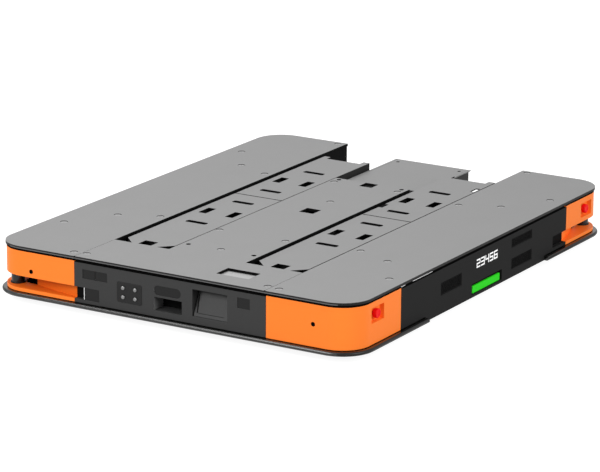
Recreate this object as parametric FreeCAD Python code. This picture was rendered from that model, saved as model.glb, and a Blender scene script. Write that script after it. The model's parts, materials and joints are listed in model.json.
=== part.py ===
"""Low-profile autonomous mobile robot with two lifting platforms.

Frame: origin on the floor under the middle of the body, -Y to the front, +X to the right
side, +Z up. All sizes are in millimetres. Lengths along the body are first named as a
distance from the front edge of the deck, as on a drawing of a deck of DRAWN_LENGTH, and
they stretch with the real length of the deck.
"""
import FreeCAD
import Part

import math
import os

from FreeCAD import Vector

# Deck and overall envelope
DECK_WIDTH = 1000.0
DECK_LENGTH = 1276.0
DRAWN_LENGTH = 1276.0
DECK_CORNER_R = 75.0
DECK_TOP = 145.0
DECK_SHEET = 3.0
FRAME_PLATE = 4.0
GROUND_CLEARANCE = 20.0
PAN_SHEET = 4.0
PAN_ROUND = 6.0

# Seams, running clearances and the reach of a cutting tool past a face
SEAM = 0.5
SLIDE_GAP = 0.3
SHAFT_GAP = 0.05
PAST = 5.0
LEVEL = 0.01

# Channels for the lifting platforms, and the T-shaped centre plate between them
CHANNEL_INNER_X = 108.0
CHANNEL_OUTER_X = 263.0
FRONT_CROSS_DEPTH = 169.0
STEM_END = 951.0
WELL_SHEET = 3.0
WELL_FLOOR = 2.0
WELL_MARGIN = 1.0
WELL_FLANGE = 15.0
WELL_FLANGE_END = 20.0
WELL_END = 1130.0
FRAME_CHAMFER = 0.8
RELIEF_HALF = 2.0
RELIEF_DEPTH = 2.5

# Outer skin: set back from the deck edge, folded round a set-back lip
SKIN_SETBACK = 2.5
SKIN_SHEET = 3.0
LIP_SETBACK = 10.0
LIP_SHEET = 3.0
COVER_BOTTOM = 32.0
COVER_TOP = 133.0
PANEL_TOP = 130.5
COVER_FACE_X = 266.0
COVER_FRONT_REACH = 219.0
COVER_REAR_REACH = 213.0

# Rubber bumper round the foot of the body
BUMPER_PROUD = 9.5
BUMPER_INSET = 6.0
BUMPER_HEIGHT = 10.5
BUMPER_ROUND = 5.0
BUMPER_FRONT_REACH = 337.0
BUMPER_REAR_REACH = 330.0

# Scanner slots in two opposite corners. From the taper on, the back wall slants to the neck
SLOT_BOTTOM = 40.5
SLOT_TOP = 70.5
SLOT_DEPTH = 45.0
SLOT_TAPER = 97.0
SLOT_NECK = 14.0
SLOT_SIDE_REACH = 286.0
SLOT_FRONT_END_X = 238.0
SLOT_WINDOW_END_X = 195.0
SLOT_REAR_END_X = 290.0
SCANNER_INSET = 42.0
SCANNER_HEAD_R = 16.0
SCANNER_BODY_R = 22.0
SCANNER_TOP = 124.0
SCANNER_BAY = 93.0
SCANNER_FOOT = 2.0
SCANNER_FOOT_T = 3.0
SCANNER_ROUND = 3.0

# Emergency stop buttons in the side faces of the corner covers
ESTOP_FRONT_Y = 112.0
ESTOP_REAR_Y = 102.0
ESTOP_Z = 100.5
ESTOP_POCKET_W = 57.0
ESTOP_POCKET_H = 37.0
ESTOP_POCKET_DEPTH = 12.0
ESTOP_HEAD_R = 11.5
ESTOP_HEAD_T = 9.0
ESTOP_STEM_R = 6.0
ESTOP_STEM_L = 24.0
ESTOP_TRAVEL = 4.0
ESTOP_ROUND = 1.5
ESTOP_BLOCK = 28.0
ESTOP_BLOCK_L = 30.0

# Front panel features, X to the right and Z from the floor
PORT_X = (-40.5, 37.0)
PORT_Z = (48.0, 80.5)
PORT_DEPTH = 40.0
SLOT_PANE_Z = (86.0, 109.0)
SLOT_PANE_X = (-40.0, 34.0)
TWIN_PANE_X = (-242.0, -172.0)
TWIN_PANE_Z = (93.0, 115.5)
SQUARE_PANE_X = (189.0, 222.5)
SQUARE_PANE_Z = (91.0, 116.5)
CAMERA_X = (66.0, 161.5)
CAMERA_Z = (49.0, 116.0)
CAMERA_DEPTH = 29.0
CAMERA_WINDOW_X = (66.0, 160.5)
CAMERA_WINDOW_RISE = (2.0, 70.0)
CAMERA_SIDE_SLIT = 2.5
CAMERA_FOOT_SLIT = 1.0
CAMERA_FACE_SINK = 0.3
CAMERA_FACE_T = 3.0
CAMERA_BODY_INSET = 14.0
CAMERA_BODY_T = 15.0
PANE_SINK = 1.2
PANE_ROUND = 11.0
CHARGE_X = (-144.5, -74.0)
CHARGE_Z = (52.0, 102.0)
CHARGE_PROUD = 0.8
CHARGE_ROUND = 6.0
CONTACT_R = 5.0
CONTACT_DOME_R = 6.5
CONTACT_COLLAR = 1.0
CONTACT_PITCH_X = 34.0
CONTACT_PITCH_Z = 22.5
COVER_HOLE_INSET = 109.0
COVER_HOLE_Z = 85.5
COVER_HOLE_R = 5.5

# Side panel features, Y from the front edge and Z from the floor
VENTS = (((410.0, 512.0), (65.0, 97.0)), ((767.0, 875.0), (95.0, 118.0)), ((768.0, 875.0), (40.0, 68.0)))
VENT_SLATS = 5
VENT_BORDER = 2.5
VENT_SINK = 1.0
VENT_T = 2.0
LIGHT_POCKET_Y = (565.0, 718.0)
LIGHT_POCKET_Z = (27.0, 54.0)
LIGHT_Y = (574.0, 713.0)
LIGHT_Z = (28.0, 46.0)
LIGHT_POCKET_DEPTH = 8.0
LIGHT_T = 5.0
LIGHT_ROUND = 2.0

# Drive wheels
WHEEL_R = 62.0
WHEEL_W = 42.0
WHEEL_INSET = 60.0
TYRE_T = 12.0
TYRE_ROUND = 3.0
WHEEL_OPENING_GAP = 9.0
HUB_RIM_T = 6.0
HUB_DISH_OUT = 25.0
HUB_DISH_IN = 8.5
HUB_HOLES = 6
HUB_HOLE_R = 8.0
HUB_HOLE_PITCH_R = 30.0
HUB_BOSS_R = 18.0
HUB_BOSS_L = 33.5
DRIVE_SHAFT_R = 10.0
DRIVE_SHAFT_L = 30.0
MOTOR_GAP = 3.0
MOTOR_R = 32.0
MOTOR_END_X = 298.0
GEARBOX_R = 36.0
GEARBOX_L = 34.0
BRACKET_RIM = 8.0
BRACKET_T = 8.0
BRACKET_FOOT_L = 38.0
BRACKET_FOOT_T = 5.0

# Swivel castors
CASTOR_SIDE_INSET = 125.0
CASTOR_END_INSET = 168.0
CASTOR_R = 25.0
CASTOR_W = 20.0
CASTOR_TRAIL = 22.0
CASTOR_AXLE_R = 4.0
CASTOR_PIN_R = 7.0
CASTOR_PLATE_Z = 92.0
CASTOR_PLATE_T = 6.0
CASTOR_PLATE_HALF = 40.0
CASTOR_OPENING_GAP = 6.0
CASTOR_LEG_T = 5.0
CASTOR_LEG_GAP = 2.0
CASTOR_AXLE_PROUD = 2.0
CASTOR_FOOT_L = 20.0
CASTOR_FOOT_T = 4.0
CASTOR_RACE_R = 20.0
CASTOR_RACE_T = 3.0
CASTOR_CROWN_R = 22.0
CASTOR_CROWN_T = 5.0
CASTOR_NUT_R = 12.0
CASTOR_NUT_T = 5.0
CASTOR_SIDE_GAP = 0.6
FORK_SHEET = 3.0
FORK_TOP = (16.0, 20.0)
FORK_FOOT = 8.0
FORK_TOE = 5.0
CASTOR_TREAD_ROUND = 3.0
CASTOR_DISH_R = 15.0
CASTOR_DISH = 3.0
CASTOR_HUB_R = 8.0

# Lifting platforms
LIFT_X = 185.75
LIFT_WIDTH = 136.0
LIFT_DROP = 4.0
LIFT_SHEET = 3.0
LIFT_FLANGE = 22.0
LIFT_START = 175.0
LIFT_SPLIT = 697.5
LIFT_END = 1120.0
LIFT_EAR = 20.0
LIFT_EAR_W = 18.0
LIFT_CHAMFER = 37.0
LIFT_FLANGE_SHEET = 2.5
LIFT_FRONT_HOLE = (182.0, 214.0)
LIFT_FRONT_HOLE_HALF = 18.0
LIFT_SLOT_Y = (415.0, 629.0, 760.0, 974.0)
LIFT_SLOT_X = (-32.0, 27.0)
LIFT_SLOT_HALF = 8.5
LIFT_SLOT_ROUND = 5.0
LIFT_WINDOWS = ((494.8, 543.8), (843.5, 892.5))
LIFT_WINDOW_OFFSET = 39.0
LIFT_WINDOW_HALF = 11.0
LIFT_INNER_NOTCH = (776.0, 809.0)
LIFT_INNER_NOTCH_W = 7.5
LIFT_OUTER_NOTCH = (1031.0, 1064.0)
LIFT_OUTER_NOTCH_W = 11.5
LIFT_FRAME_DROP = 3.0
LIFT_TRAVEL = 50.0
WEDGE_ANGLE = 25.0
WEDGE_BLOCK = 30.0
WEDGE_X = (18.0, 36.0)
WEDGE_FOOT = 4.0
CARRIAGE_Z = (30.0, 36.0)
WEDGE_Y = (328.0, 928.0)
RAIL_X = (55.2, 65.2)
POST_X = 52.0
POST_R = 6.0
POST_Y = (235.0, 1023.0)
BUSH_R = 10.0
BUSH_BOTTOM = 62.0
CROSSBARS = (235.0, 328.0, 565.0, LIFT_SPLIT, 928.0, 1023.0)
CROSSBAR_W = 24.0
SCREW_R = 8.0
SCREW_Z = 56.0
SCREW_LEAD_IN = 40.0
SCREW_RUN_OUT = 20.0
SCREW_HOLE_GAP = 2.0
NUT_SETBACK = 10.0
NUT_L = 28.0
NUT_HALF = 15.0
NUT_RISE = 16.0
TIE_SETBACK = 20.0
TIE_W = 20.0
GUIDE_RAIL_INSET = 3.0
BEARING_HALF = 14.0
BEARING_T = 15.0
LIFT_MOTOR_R = 28.0
LIFT_MOTOR_L = 92.0
LIFT_MOTOR_FLANGE = 32.0
LIFT_MOTOR_FLANGE_T = 6.0

# Module mounting holes, square tower holes and the hatch in the deck
MODULE_HOLE_R = 6.0
MODULE_X = 92.0
MODULE_Y = (230.0, 938.5)
SQUARE_HOLES = ((641.0, 40.0), (931.0, 36.0))
HATCH_X = (96.0, 185.0)
HATCH_Y = (58.0, 110.0)
HATCH_LAP = 8.0
HATCH_SHEET = 3.0

# Deck screws: X and distance from the front edge; the side screws stand on both sides, and
# their X is a distance from the channel or from the side of the deck
DECK_SCREW_HEAD_R = 9.0
DECK_SCREW_SINK = 2.2
DECK_SCREW_BELOW = 1.1
DECK_SCREW_SHANK_R = 4.0
CENTRE_SCREWS = ((251.0, 34.0), (-251.0, 34.0), (90.0, 376.0), (-97.0, 376.0), (-2.0, 233.0), (-2.0, 742.5),
                 (-93.0, 915.0), (93.0, 915.0))
CHANNEL_SCREW_X = 21.5
CHANNEL_SCREW_Y = (29.5, 400.0, 887.0, 1259.0)
SIDE_SCREWS = ((118.0, 357.0), (43.0, 234.0), (43.0, 1050.0), (118.0, 929.0))

# Cover over the electronics bay behind the centre plate
BAY_COVER_DROP = 20.0
BAY_COVER_SHEET = 2.5
BAY_COVER_MARGIN = 2.0
BAY_COVER_LAP = 1.0
BAY_COVER_REAR_GAP = 3.5
BAY_COVER_ROUND = 2.0
BAY_HOLE_R = 4.5
BAY_HOLE_X = 92.0
BAY_HOLE_EDGE = 30.0

# Battery and control computer, with Y from the middle of the body
BATTERY_HALF_X = 92.0
BATTERY_Y = (-440.0, 40.0)
BATTERY_TOP = 118.0
BATTERY_ROUND = 6.0
BATTERY_GROOVES = 7
BATTERY_GROOVE_START = 50.0
BATTERY_GROOVE_PITCH = 62.0
BATTERY_GROOVE_W = 8.0
BATTERY_GROOVE_DEPTH = 3.5
CONTROLLER_HALF_X = 88.0
CONTROLLER_Y = (80.0, 280.0)
CONTROLLER_TOP = 78.0
FIN_COUNT = 11
FIN_T = 3.0
FIN_H = 14.0
FIN_MARGIN = 6.0
FIN_INSET = 8.0

# Values that follow from the sizes above
FRONT = -DECK_LENGTH / 2
BACK = DECK_LENGTH / 2
HALF_W = DECK_WIDTH / 2
SHEET_BOTTOM = DECK_TOP - DECK_SHEET
FRAME_BOTTOM = SHEET_BOTTOM - FRAME_PLATE
PAN_TOP = GROUND_CLEARANCE + PAN_SHEET
LIFT_TOP = DECK_TOP - LIFT_DROP
LIFT_UNDER = LIFT_TOP - LIFT_SHEET
WEDGE_TRAVEL = LIFT_TRAVEL / math.tan(math.radians(WEDGE_ANGLE))
FACE_X = HALF_W - SKIN_SETBACK
FACE_Y = FRONT + SKIN_SETBACK
COVER_HOLE_X = HALF_W - COVER_HOLE_INSET
WHEEL_X = HALF_W - WHEEL_INSET
MOTOR_L = WHEEL_X - WHEEL_W / 2 - MOTOR_GAP - GEARBOX_L - MOTOR_END_X
CASTOR_X = HALF_W - CASTOR_SIDE_INSET
CASTOR_Y = BACK - CASTOR_END_INSET
WELL_FLOOR_TOP = PAN_TOP + WELL_FLOOR
DECK_THROUGH = DECK_TOP - FRAME_BOTTOM + 2 * PAST
CASTOR_PLATE_TOP = CASTOR_PLATE_Z + CASTOR_PLATE_T
CASTOR_CROWN_TOP = CASTOR_PLATE_Z - CASTOR_RACE_T


def along(distance):
    """Y of a point that lies this far behind the front edge on the drawing of the deck."""
    return FRONT + distance * DECK_LENGTH / DRAWN_LENGTH


def before(distance):
    """Y of a point that lies this far in front of the back edge on the drawing of the deck."""
    return -along(distance)


def box(x, y, z):
    """Box from three (low, high) pairs."""
    return Part.makeBox(x[1] - x[0], y[1] - y[0], z[1] - z[0], Vector(x[0], y[0], z[0]))


def rod(radius, length, start, direction):
    """Cylinder from a start point along a direction."""
    return Part.makeCylinder(radius, length, Vector(*start), Vector(*direction))


def prism_x(points, x):
    """Solid with a (y, z) outline, extruded between two X values."""
    corners = [Vector(x[0], y, z) for y, z in points]
    face = Part.Face(Part.makePolygon(corners + corners[:1]))
    return face.extrude(Vector(x[1] - x[0], 0, 0))


def prism_z(points, z):
    """Solid with an (x, y) outline, extruded between two Z values."""
    corners = [Vector(x, y, z[0]) for x, y in points]
    face = Part.Face(Part.makePolygon(corners + corners[:1]))
    return face.extrude(Vector(0, 0, z[1] - z[0]))


def rounded_box(x, y, z, radius, axis):
    """Box whose edges along one axis ("x", "y" or "z") are rounded."""
    shape = box(x, y, z)
    number = "xyz".index(axis)
    edges = [e for e in shape.Edges if abs(e.tangentAt(e.FirstParameter)[number]) > 0.9]
    return shape.makeFillet(radius, edges)


def union(shapes):
    """All the shapes as one solid, without seams between flush faces."""
    first, rest = shapes[0], shapes[1:]
    return first.fuse(rest).removeSplitter() if rest else first


def mirrored(shape, across_x=False, across_y=False):
    """Copy of a shape, mirrored to the left side, to the back, or both."""
    copy = shape
    if across_x:
        copy = copy.mirror(Vector(0, 0, 0), Vector(1, 0, 0))
    if across_y:
        copy = copy.mirror(Vector(0, 0, 0), Vector(0, 1, 0))
    return copy


def save(name, shapes):
    """Write one node's solids to its STEP file."""
    solids = [solid for shape in shapes for solid in shape.Solids]
    Part.makeCompound(solids).exportStep("parts/" + name + ".step")


def slab(inset, z):
    """The deck's outline, set back all round, between two heights."""
    radius = DECK_CORNER_R - inset
    x = (-HALF_W + inset, HALF_W - inset)
    y = (FRONT + inset, BACK - inset)
    return rounded_box(x, y, z, radius, "z")


def ring(outer_inset, inner_inset, z):
    """Wall that follows the deck's outline between two set-backs."""
    return slab(outer_inset, z).cut(slab(inner_inset, z))


def body_wall(bottom, top):
    """Skin all round the body: outer sheet, its folds and the set-back lip behind them."""
    inner = LIP_SETBACK + LIP_SHEET
    folded = SKIN_SETBACK + SKIN_SHEET
    return union([
        ring(SKIN_SETBACK, folded, (bottom, top)),
        ring(folded, inner, (top - SKIN_SHEET, top)),
        ring(folded, inner, (bottom, bottom + SKIN_SHEET)),
        ring(LIP_SETBACK, inner, (PAN_TOP, FRAME_BOTTOM)),
    ])


def corner_zone(face_x, side_y, z=(0.0, DECK_TOP)):
    """Everything outside face_x and in front of side_y at the front right corner."""
    return box((face_x, HALF_W + PAST), (FRONT - PAST, side_y), z)


def slot_shape(outer_inset, wall, z, seam):
    """Room of a scanner slot at the front right corner, with a wall of this thickness behind it.

    The back slants from full depth beside the corner to the neck at seam, the X of the slot's
    seam in the front face and the Y of its seam in the side face.
    """
    deep, neck = SLOT_DEPTH + wall, SLOT_NECK + wall
    taper_x, taper_y = HALF_W - SLOT_TAPER, FRONT + SLOT_TAPER
    seam_x, seam_y = seam
    behind = prism_z([(taper_x, FRONT + deep), (seam_x, FRONT + neck), (0, FRONT + neck),
                      (0, FRONT + deep + PAST), (taper_x, FRONT + deep + PAST)], z)
    beside = prism_z([(HALF_W - deep, taper_y), (HALF_W - neck, seam_y), (HALF_W - neck, 0),
                      (HALF_W - deep - PAST, 0), (HALF_W - deep - PAST, taper_y)], z)
    return ring(outer_inset, deep, z).cut([behind, beside])


def slot_void(face_x, side_y, seam):
    """Open space of a scanner slot, at the front right corner."""
    return slot_shape(-PAST, 0.0, (SLOT_BOTTOM, SLOT_TOP), seam).common(corner_zone(face_x, side_y))


def slot_trough(face_x, side_y, seam):
    """Floor, ceiling and rear wall of a scanner slot before the slot is cut."""
    z = (COVER_BOTTOM, SLOT_TOP + SKIN_SHEET)
    return slot_shape(SKIN_SETBACK, SKIN_SHEET, z, seam).common(corner_zone(face_x, side_y))


def front_slot_seam():
    """Seams of the front scanner slot, drawn at the front right corner."""
    return COVER_FACE_X, along(COVER_FRONT_REACH)


def rear_slot_seam():
    """End and seam of the rear scanner slot, drawn at the front right corner."""
    return SLOT_REAR_END_X, along(COVER_REAR_REACH)


def scanner_centre():
    """Scanner axis at the front right corner."""
    return HALF_W - SCANNER_INSET, FRONT + SCANNER_INSET


def estop_pocket(distance):
    """Block and opening of the recess round an emergency stop, at the front right."""
    y = along(distance)
    half_w, half_h = ESTOP_POCKET_W / 2, ESTOP_POCKET_H / 2
    floor = FACE_X - ESTOP_POCKET_DEPTH
    block = box((floor - SKIN_SHEET, FACE_X), (y - half_w - SKIN_SHEET, y + half_w + SKIN_SHEET),
                (ESTOP_Z - half_h - SKIN_SHEET, ESTOP_Z + half_h + SKIN_SHEET))
    void = box((floor, HALF_W + PAST), (y - half_w, y + half_w), (ESTOP_Z - half_h, ESTOP_Z + half_h))
    stem_start = floor - SKIN_SHEET - PAST
    stem = rod(ESTOP_STEM_R + SHAFT_GAP, SKIN_SHEET + 2 * PAST, (stem_start, y, ESTOP_Z), (1, 0, 0))
    return block, void.fuse(stem)


def corner_cover(reach, estop_distance, face_x, slot_face_x=None, seam=None):
    """Orange corner cover, drawn at the front right. slot_face_x and seam add a scanner slot."""
    cover = body_wall(COVER_BOTTOM, COVER_TOP).common(corner_zone(face_x, along(reach)))
    block, pocket = estop_pocket(estop_distance)
    boss = rod(COVER_HOLE_R + SKIN_SHEET, 2 * SKIN_SHEET, (COVER_HOLE_X, FACE_Y, COVER_HOLE_Z), (0, 1, 0))
    hole = rod(COVER_HOLE_R, 1.6 * SKIN_SHEET, (COVER_HOLE_X, FACE_Y, COVER_HOLE_Z), (0, 1, 0))
    parts = [cover, block, boss]
    if slot_face_x is not None:
        parts.append(slot_trough(max(face_x, slot_face_x - SKIN_SHEET), along(reach), seam))
    cover = union(parts).cut(pocket).cut(hole)
    if slot_face_x is not None:
        x, y = scanner_centre()
        bay = box((HALF_W - SCANNER_BAY, HALF_W - SLOT_DEPTH), (FRONT + SLOT_DEPTH, FRONT + SCANNER_BAY),
                  (SLOT_BOTTOM, FRAME_BOTTOM))
        barrel = rod(SCANNER_BODY_R + SLIDE_GAP, FRAME_BOTTOM - SLOT_BOTTOM, (x, y, SLOT_BOTTOM), (0, 0, 1))
        skin = ring(-PAST, SKIN_SETBACK + SKIN_SHEET, (SLOT_TOP, FRAME_BOTTOM))
        void = slot_void(slot_face_x, along(SLOT_SIDE_REACH), seam)
        cover = cover.cut(void).cut(bay).cut(barrel.cut(skin))
    return cover


def front_panel():
    """Black panel between the front corner covers, with its pockets and windows."""
    low, high = COVER_BOTTOM + SEAM, PANEL_TOP
    wall = SKIN_SHEET
    half = COVER_FACE_X - SEAM
    zone = box((-half, half), (FRONT - PAST, FACE_Y + PORT_DEPTH + wall + PAST), (0, DECK_TOP))
    seam = front_slot_seam()
    trough_end = FRONT + SLOT_DEPTH + PAST
    trough = mirrored(slot_trough(SLOT_WINDOW_END_X - SKIN_SHEET, trough_end, seam), across_x=True)
    port = box((PORT_X[0] - wall, PORT_X[1] + wall), (FACE_Y, FACE_Y + PORT_DEPTH + wall),
               (PORT_Z[0] - wall, PORT_Z[1] + wall))
    hood = prism_x([(FACE_Y, CAMERA_Z[0] - wall), (FACE_Y + CAMERA_DEPTH + wall, CAMERA_Z[1]),
                    (FACE_Y + CAMERA_DEPTH + wall, CAMERA_Z[1] + wall), (FACE_Y, CAMERA_Z[1] + wall)],
                   (CAMERA_X[0] - wall, CAMERA_X[1] + wall))
    panel = union([body_wall(low, high), trough, port, hood]).common(zone)
    y = (FRONT - PAST, FACE_Y + LIP_SETBACK + LIP_SHEET)
    cuts = [
        box(PORT_X, (FRONT - PAST, FACE_Y + PORT_DEPTH), PORT_Z),
        camera_void(),
        camera_window(),
        box(TWIN_PANE_X, y, TWIN_PANE_Z),
        rounded_box(SLOT_PANE_X, y, SLOT_PANE_Z, PANE_ROUND, "y"),
        box(SQUARE_PANE_X, y, SQUARE_PANE_Z),
        rounded_box(CHARGE_X, y, CHARGE_Z, CHARGE_ROUND, "y"),
        mirrored(slot_void(SLOT_WINDOW_END_X, 0, seam), across_x=True),
    ]
    return panel.cut(cuts)


def camera_void():
    """Wedge-shaped recess in front of the tilted depth camera."""
    return prism_x([(FRONT - PAST, CAMERA_Z[0]), (FACE_Y, CAMERA_Z[0]), (FACE_Y + CAMERA_DEPTH, CAMERA_Z[1]),
                    (FRONT - PAST, CAMERA_Z[1])], CAMERA_X)


def on_camera_slope(shape):
    """Turn a shape drawn upright at the origin so that it lies on the camera's slope."""
    tilt = math.degrees(math.atan2(CAMERA_DEPTH, CAMERA_Z[1] - CAMERA_Z[0]))
    copy = shape.copy()
    copy.rotate(Vector(0, 0, 0), Vector(1, 0, 0), -tilt)
    copy.translate(Vector(0, FACE_Y, CAMERA_Z[0]))
    return copy


def camera_window():
    """Opening in the sloped wall for the depth camera's face."""
    return on_camera_slope(box(CAMERA_WINDOW_X, (-PAST, 3 * SKIN_SHEET), CAMERA_WINDOW_RISE))


def depth_camera():
    """Depth camera in the slope: a flat face with a slit beside and below it, and the body behind."""
    x = (CAMERA_WINDOW_X[0] + CAMERA_SIDE_SLIT, CAMERA_WINDOW_X[1])
    rise = (CAMERA_WINDOW_RISE[0] + CAMERA_FOOT_SLIT, CAMERA_WINDOW_RISE[1])
    back = CAMERA_FACE_SINK + CAMERA_FACE_T
    face = box(x, (CAMERA_FACE_SINK, back), rise)
    inset = CAMERA_BODY_INSET
    body_rise = (rise[0] + inset, rise[1] - inset)
    body = box((x[0] + inset, x[1] - inset), (back, back + CAMERA_BODY_T), body_rise)
    return on_camera_slope(union([face, body]))


def front_lenses():
    """Smoked panes in the front panel."""
    y = (FACE_Y + PANE_SINK, FACE_Y + SKIN_SHEET)
    middle = (TWIN_PANE_X[0] + TWIN_PANE_X[1]) / 2
    slot_pane = box((-SLOT_FRONT_END_X, -SLOT_WINDOW_END_X), y, (SLOT_BOTTOM, SLOT_TOP))
    return [
        box((TWIN_PANE_X[0], middle - SEAM), y, TWIN_PANE_Z),
        box((middle + SEAM, TWIN_PANE_X[1]), y, TWIN_PANE_Z),
        rounded_box(SLOT_PANE_X, y, SLOT_PANE_Z, PANE_ROUND, "y"),
        box(SQUARE_PANE_X, y, SQUARE_PANE_Z),
        slot_pane,
    ]


def charge_block():
    """Insulating block that carries the charging contacts."""
    y = (FACE_Y - CHARGE_PROUD, FACE_Y + LIP_SETBACK)
    return rounded_box(CHARGE_X, y, CHARGE_Z, CHARGE_ROUND, "y")


def charge_contacts():
    """Four domed contact studs on the charge block."""
    centre_x, centre_z = sum(CHARGE_X) / 2, sum(CHARGE_Z) / 2
    rim = FACE_Y - CHARGE_PROUD - CONTACT_COLLAR
    to_centre = math.sqrt(CONTACT_DOME_R ** 2 - CONTACT_R ** 2)
    studs = []
    for sx in (-0.5, 0.5):
        for sz in (-0.5, 0.5):
            x, z = centre_x + sx * CONTACT_PITCH_X, centre_z + sz * CONTACT_PITCH_Z
            collar = rod(CONTACT_R, CONTACT_COLLAR, (x, rim, z), (0, 1, 0))
            ball = Part.makeSphere(CONTACT_DOME_R, Vector(x, rim + to_centre, z))
            reach = 2 * CONTACT_R
            cap = ball.common(box((x - reach, x + reach), (rim - reach, rim), (z - reach, z + reach)))
            studs.append(union([collar, cap]))
    return studs


def side_panel():
    """Black side panel, drawn on the right side without a scanner slot."""
    y = (along(COVER_FRONT_REACH) + SEAM, before(COVER_REAR_REACH) - SEAM)
    zone = box((0, HALF_W + PAST), y, (0, DECK_TOP))
    skirt_y = (along(BUMPER_FRONT_REACH) + SEAM, before(BUMPER_REAR_REACH) - SEAM)
    folded = SKIN_SETBACK + SKIN_SHEET
    skirt = ring(SKIN_SETBACK, folded, (GROUND_CLEARANCE, COVER_BOTTOM + SKIN_SHEET))
    skirt = skirt.common(box((0, HALF_W + PAST), skirt_y, (0, DECK_TOP)))
    light_y = tuple(along(value) for value in LIGHT_POCKET_Y)
    floor = FACE_X - LIGHT_POCKET_DEPTH
    wall = SKIN_SHEET
    pocket = box((floor - wall, FACE_X), (light_y[0] - wall, light_y[1] + wall),
                 (LIGHT_POCKET_Z[0] - wall, LIGHT_POCKET_Z[1] + wall))
    panel = union([body_wall(COVER_BOTTOM + SEAM, PANEL_TOP).common(zone), skirt, pocket])
    cuts = [box((floor, HALF_W + PAST), light_y, LIGHT_POCKET_Z)]
    for span_y, span_z in VENTS:
        vent_y = tuple(along(value) for value in span_y)
        cuts.append(box((FACE_X - LIP_SETBACK / 2, HALF_W + PAST), vent_y, span_z))
    return panel.cut(cuts)


def side_slot_end(seam):
    """Trough and open space of a scanner slot's end in the side panel, at the front right."""
    face_x = HALF_W - SLOT_DEPTH - SKIN_SHEET - PAST
    trough = slot_trough(face_x, along(SLOT_SIDE_REACH + SKIN_SHEET), seam)
    own = box((0, HALF_W + PAST), (seam[1] + SEAM, 0), (COVER_BOTTOM + SEAM, DECK_TOP))
    return trough.common(own), slot_void(face_x, along(SLOT_SIDE_REACH), seam)


def vent_grilles():
    """Louvred grilles in the vent openings of the right side panel."""
    grilles = []
    outer = FACE_X - VENT_SINK
    for span_y, span_z in VENTS:
        y = tuple(along(value) for value in span_y)
        inner_y = (y[0] + VENT_BORDER, y[1] - VENT_BORDER)
        inner_z = (span_z[0] + VENT_BORDER, span_z[1] - VENT_BORDER)
        frame = box((outer - VENT_T, outer), y, span_z)
        frame = frame.cut(box((outer - PAST, outer + PAST), inner_y, inner_z))
        pitch = (inner_z[1] - inner_z[0]) / VENT_SLATS
        slats = [louvre(outer, inner_y, inner_z[0] + number * pitch, pitch) for number in range(VENT_SLATS)]
        grilles.append(union([frame] + slats))
    return grilles


def louvre(outer, y, low, pitch):
    """One sloping louvre slat. Its back edge stands higher than its front edge."""
    front = (low, low + 0.3 * pitch)
    back = (low + 0.65 * pitch, low + 0.95 * pitch)
    points = [Vector(outer, y[0], front[0]), Vector(outer, y[0], front[1]),
              Vector(outer - VENT_T, y[0], back[1]), Vector(outer - VENT_T, y[0], back[0])]
    face = Part.Face(Part.makePolygon(points + points[:1]))
    return face.extrude(Vector(0, y[1] - y[0], 0))


def status_light():
    """Light bar at the foot of the right side panel."""
    y = tuple(along(value) for value in LIGHT_Y)
    floor = FACE_X - LIGHT_POCKET_DEPTH
    return rounded_box((floor, floor + LIGHT_T), y, LIGHT_Z, LIGHT_ROUND, "x")


def bumper_ring():
    """Rubber bumper profile all round, with a rounded nose."""
    z = (GROUND_CLEARANCE, GROUND_CLEARANCE + BUMPER_HEIGHT)
    outer = slab(-BUMPER_PROUD, z)
    rims = [e for e in outer.Edges if abs(e.BoundBox.ZMax - e.BoundBox.ZMin) < LEVEL]
    return outer.makeFillet(BUMPER_ROUND, rims).cut(slab(BUMPER_INSET, z))


def bumpers():
    """Front bumper, then the rear left and rear right bumpers."""
    whole = bumper_ring()
    wide = HALF_W + 4 * PAST
    front = whole.common(box((-wide, wide), (FRONT - 4 * PAST, along(BUMPER_FRONT_REACH)), (0, DECK_TOP)))
    start = before(BUMPER_REAR_REACH)
    right = whole.common(box((well_x()[1] + SEAM, wide), (start, BACK + 4 * PAST), (0, DECK_TOP)))
    return front, mirrored(right, across_x=True), right


def deck_screw_places():
    """Centres of the deck screws, on the centre plate and on both side plates."""
    places = [(x, along(distance)) for x, distance in CENTRE_SCREWS]
    sides = [(CHANNEL_OUTER_X + CHANNEL_SCREW_X, distance) for distance in CHANNEL_SCREW_Y]
    sides += [(HALF_W - inset, distance) for inset, distance in SIDE_SCREWS]
    for x, distance in sides:
        places += [(x, along(distance)), (-x, along(distance))]
    return places


def deck_openings():
    """Everything that is cut through the deck sheets and the frame plate below them."""
    cuts = []
    for sx in (-MODULE_X, MODULE_X):
        for distance in MODULE_Y:
            place = (sx, along(distance), FRAME_BOTTOM - PAST)
            cuts.append(rod(MODULE_HOLE_R, DECK_THROUGH, place, (0, 0, 1)))
    for distance, size in SQUARE_HOLES:
        y = along(distance)
        z = (FRAME_BOTTOM - PAST, DECK_TOP + PAST)
        cuts.append(box((-size / 2, size / 2), (y - size / 2, y + size / 2), z))
    cuts.append(hatch_opening())
    return cuts


def hatch_opening():
    """Rectangular well in the front cross of the deck."""
    return box(HATCH_X, (along(HATCH_Y[0]), along(HATCH_Y[1])), (FRAME_BOTTOM - PAST, DECK_TOP + PAST))


def screw_seats():
    """Counterbores and shank holes for the deck screws."""
    cuts = []
    for x, y in deck_screw_places():
        cuts.append(rod(DECK_SCREW_HEAD_R, PAST, (x, y, DECK_TOP - DECK_SCREW_SINK), (0, 0, 1)))
        cuts.append(rod(DECK_SCREW_SHANK_R, DECK_THROUGH, (x, y, FRAME_BOTTOM - PAST), (0, 0, 1)))
    return cuts


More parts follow.
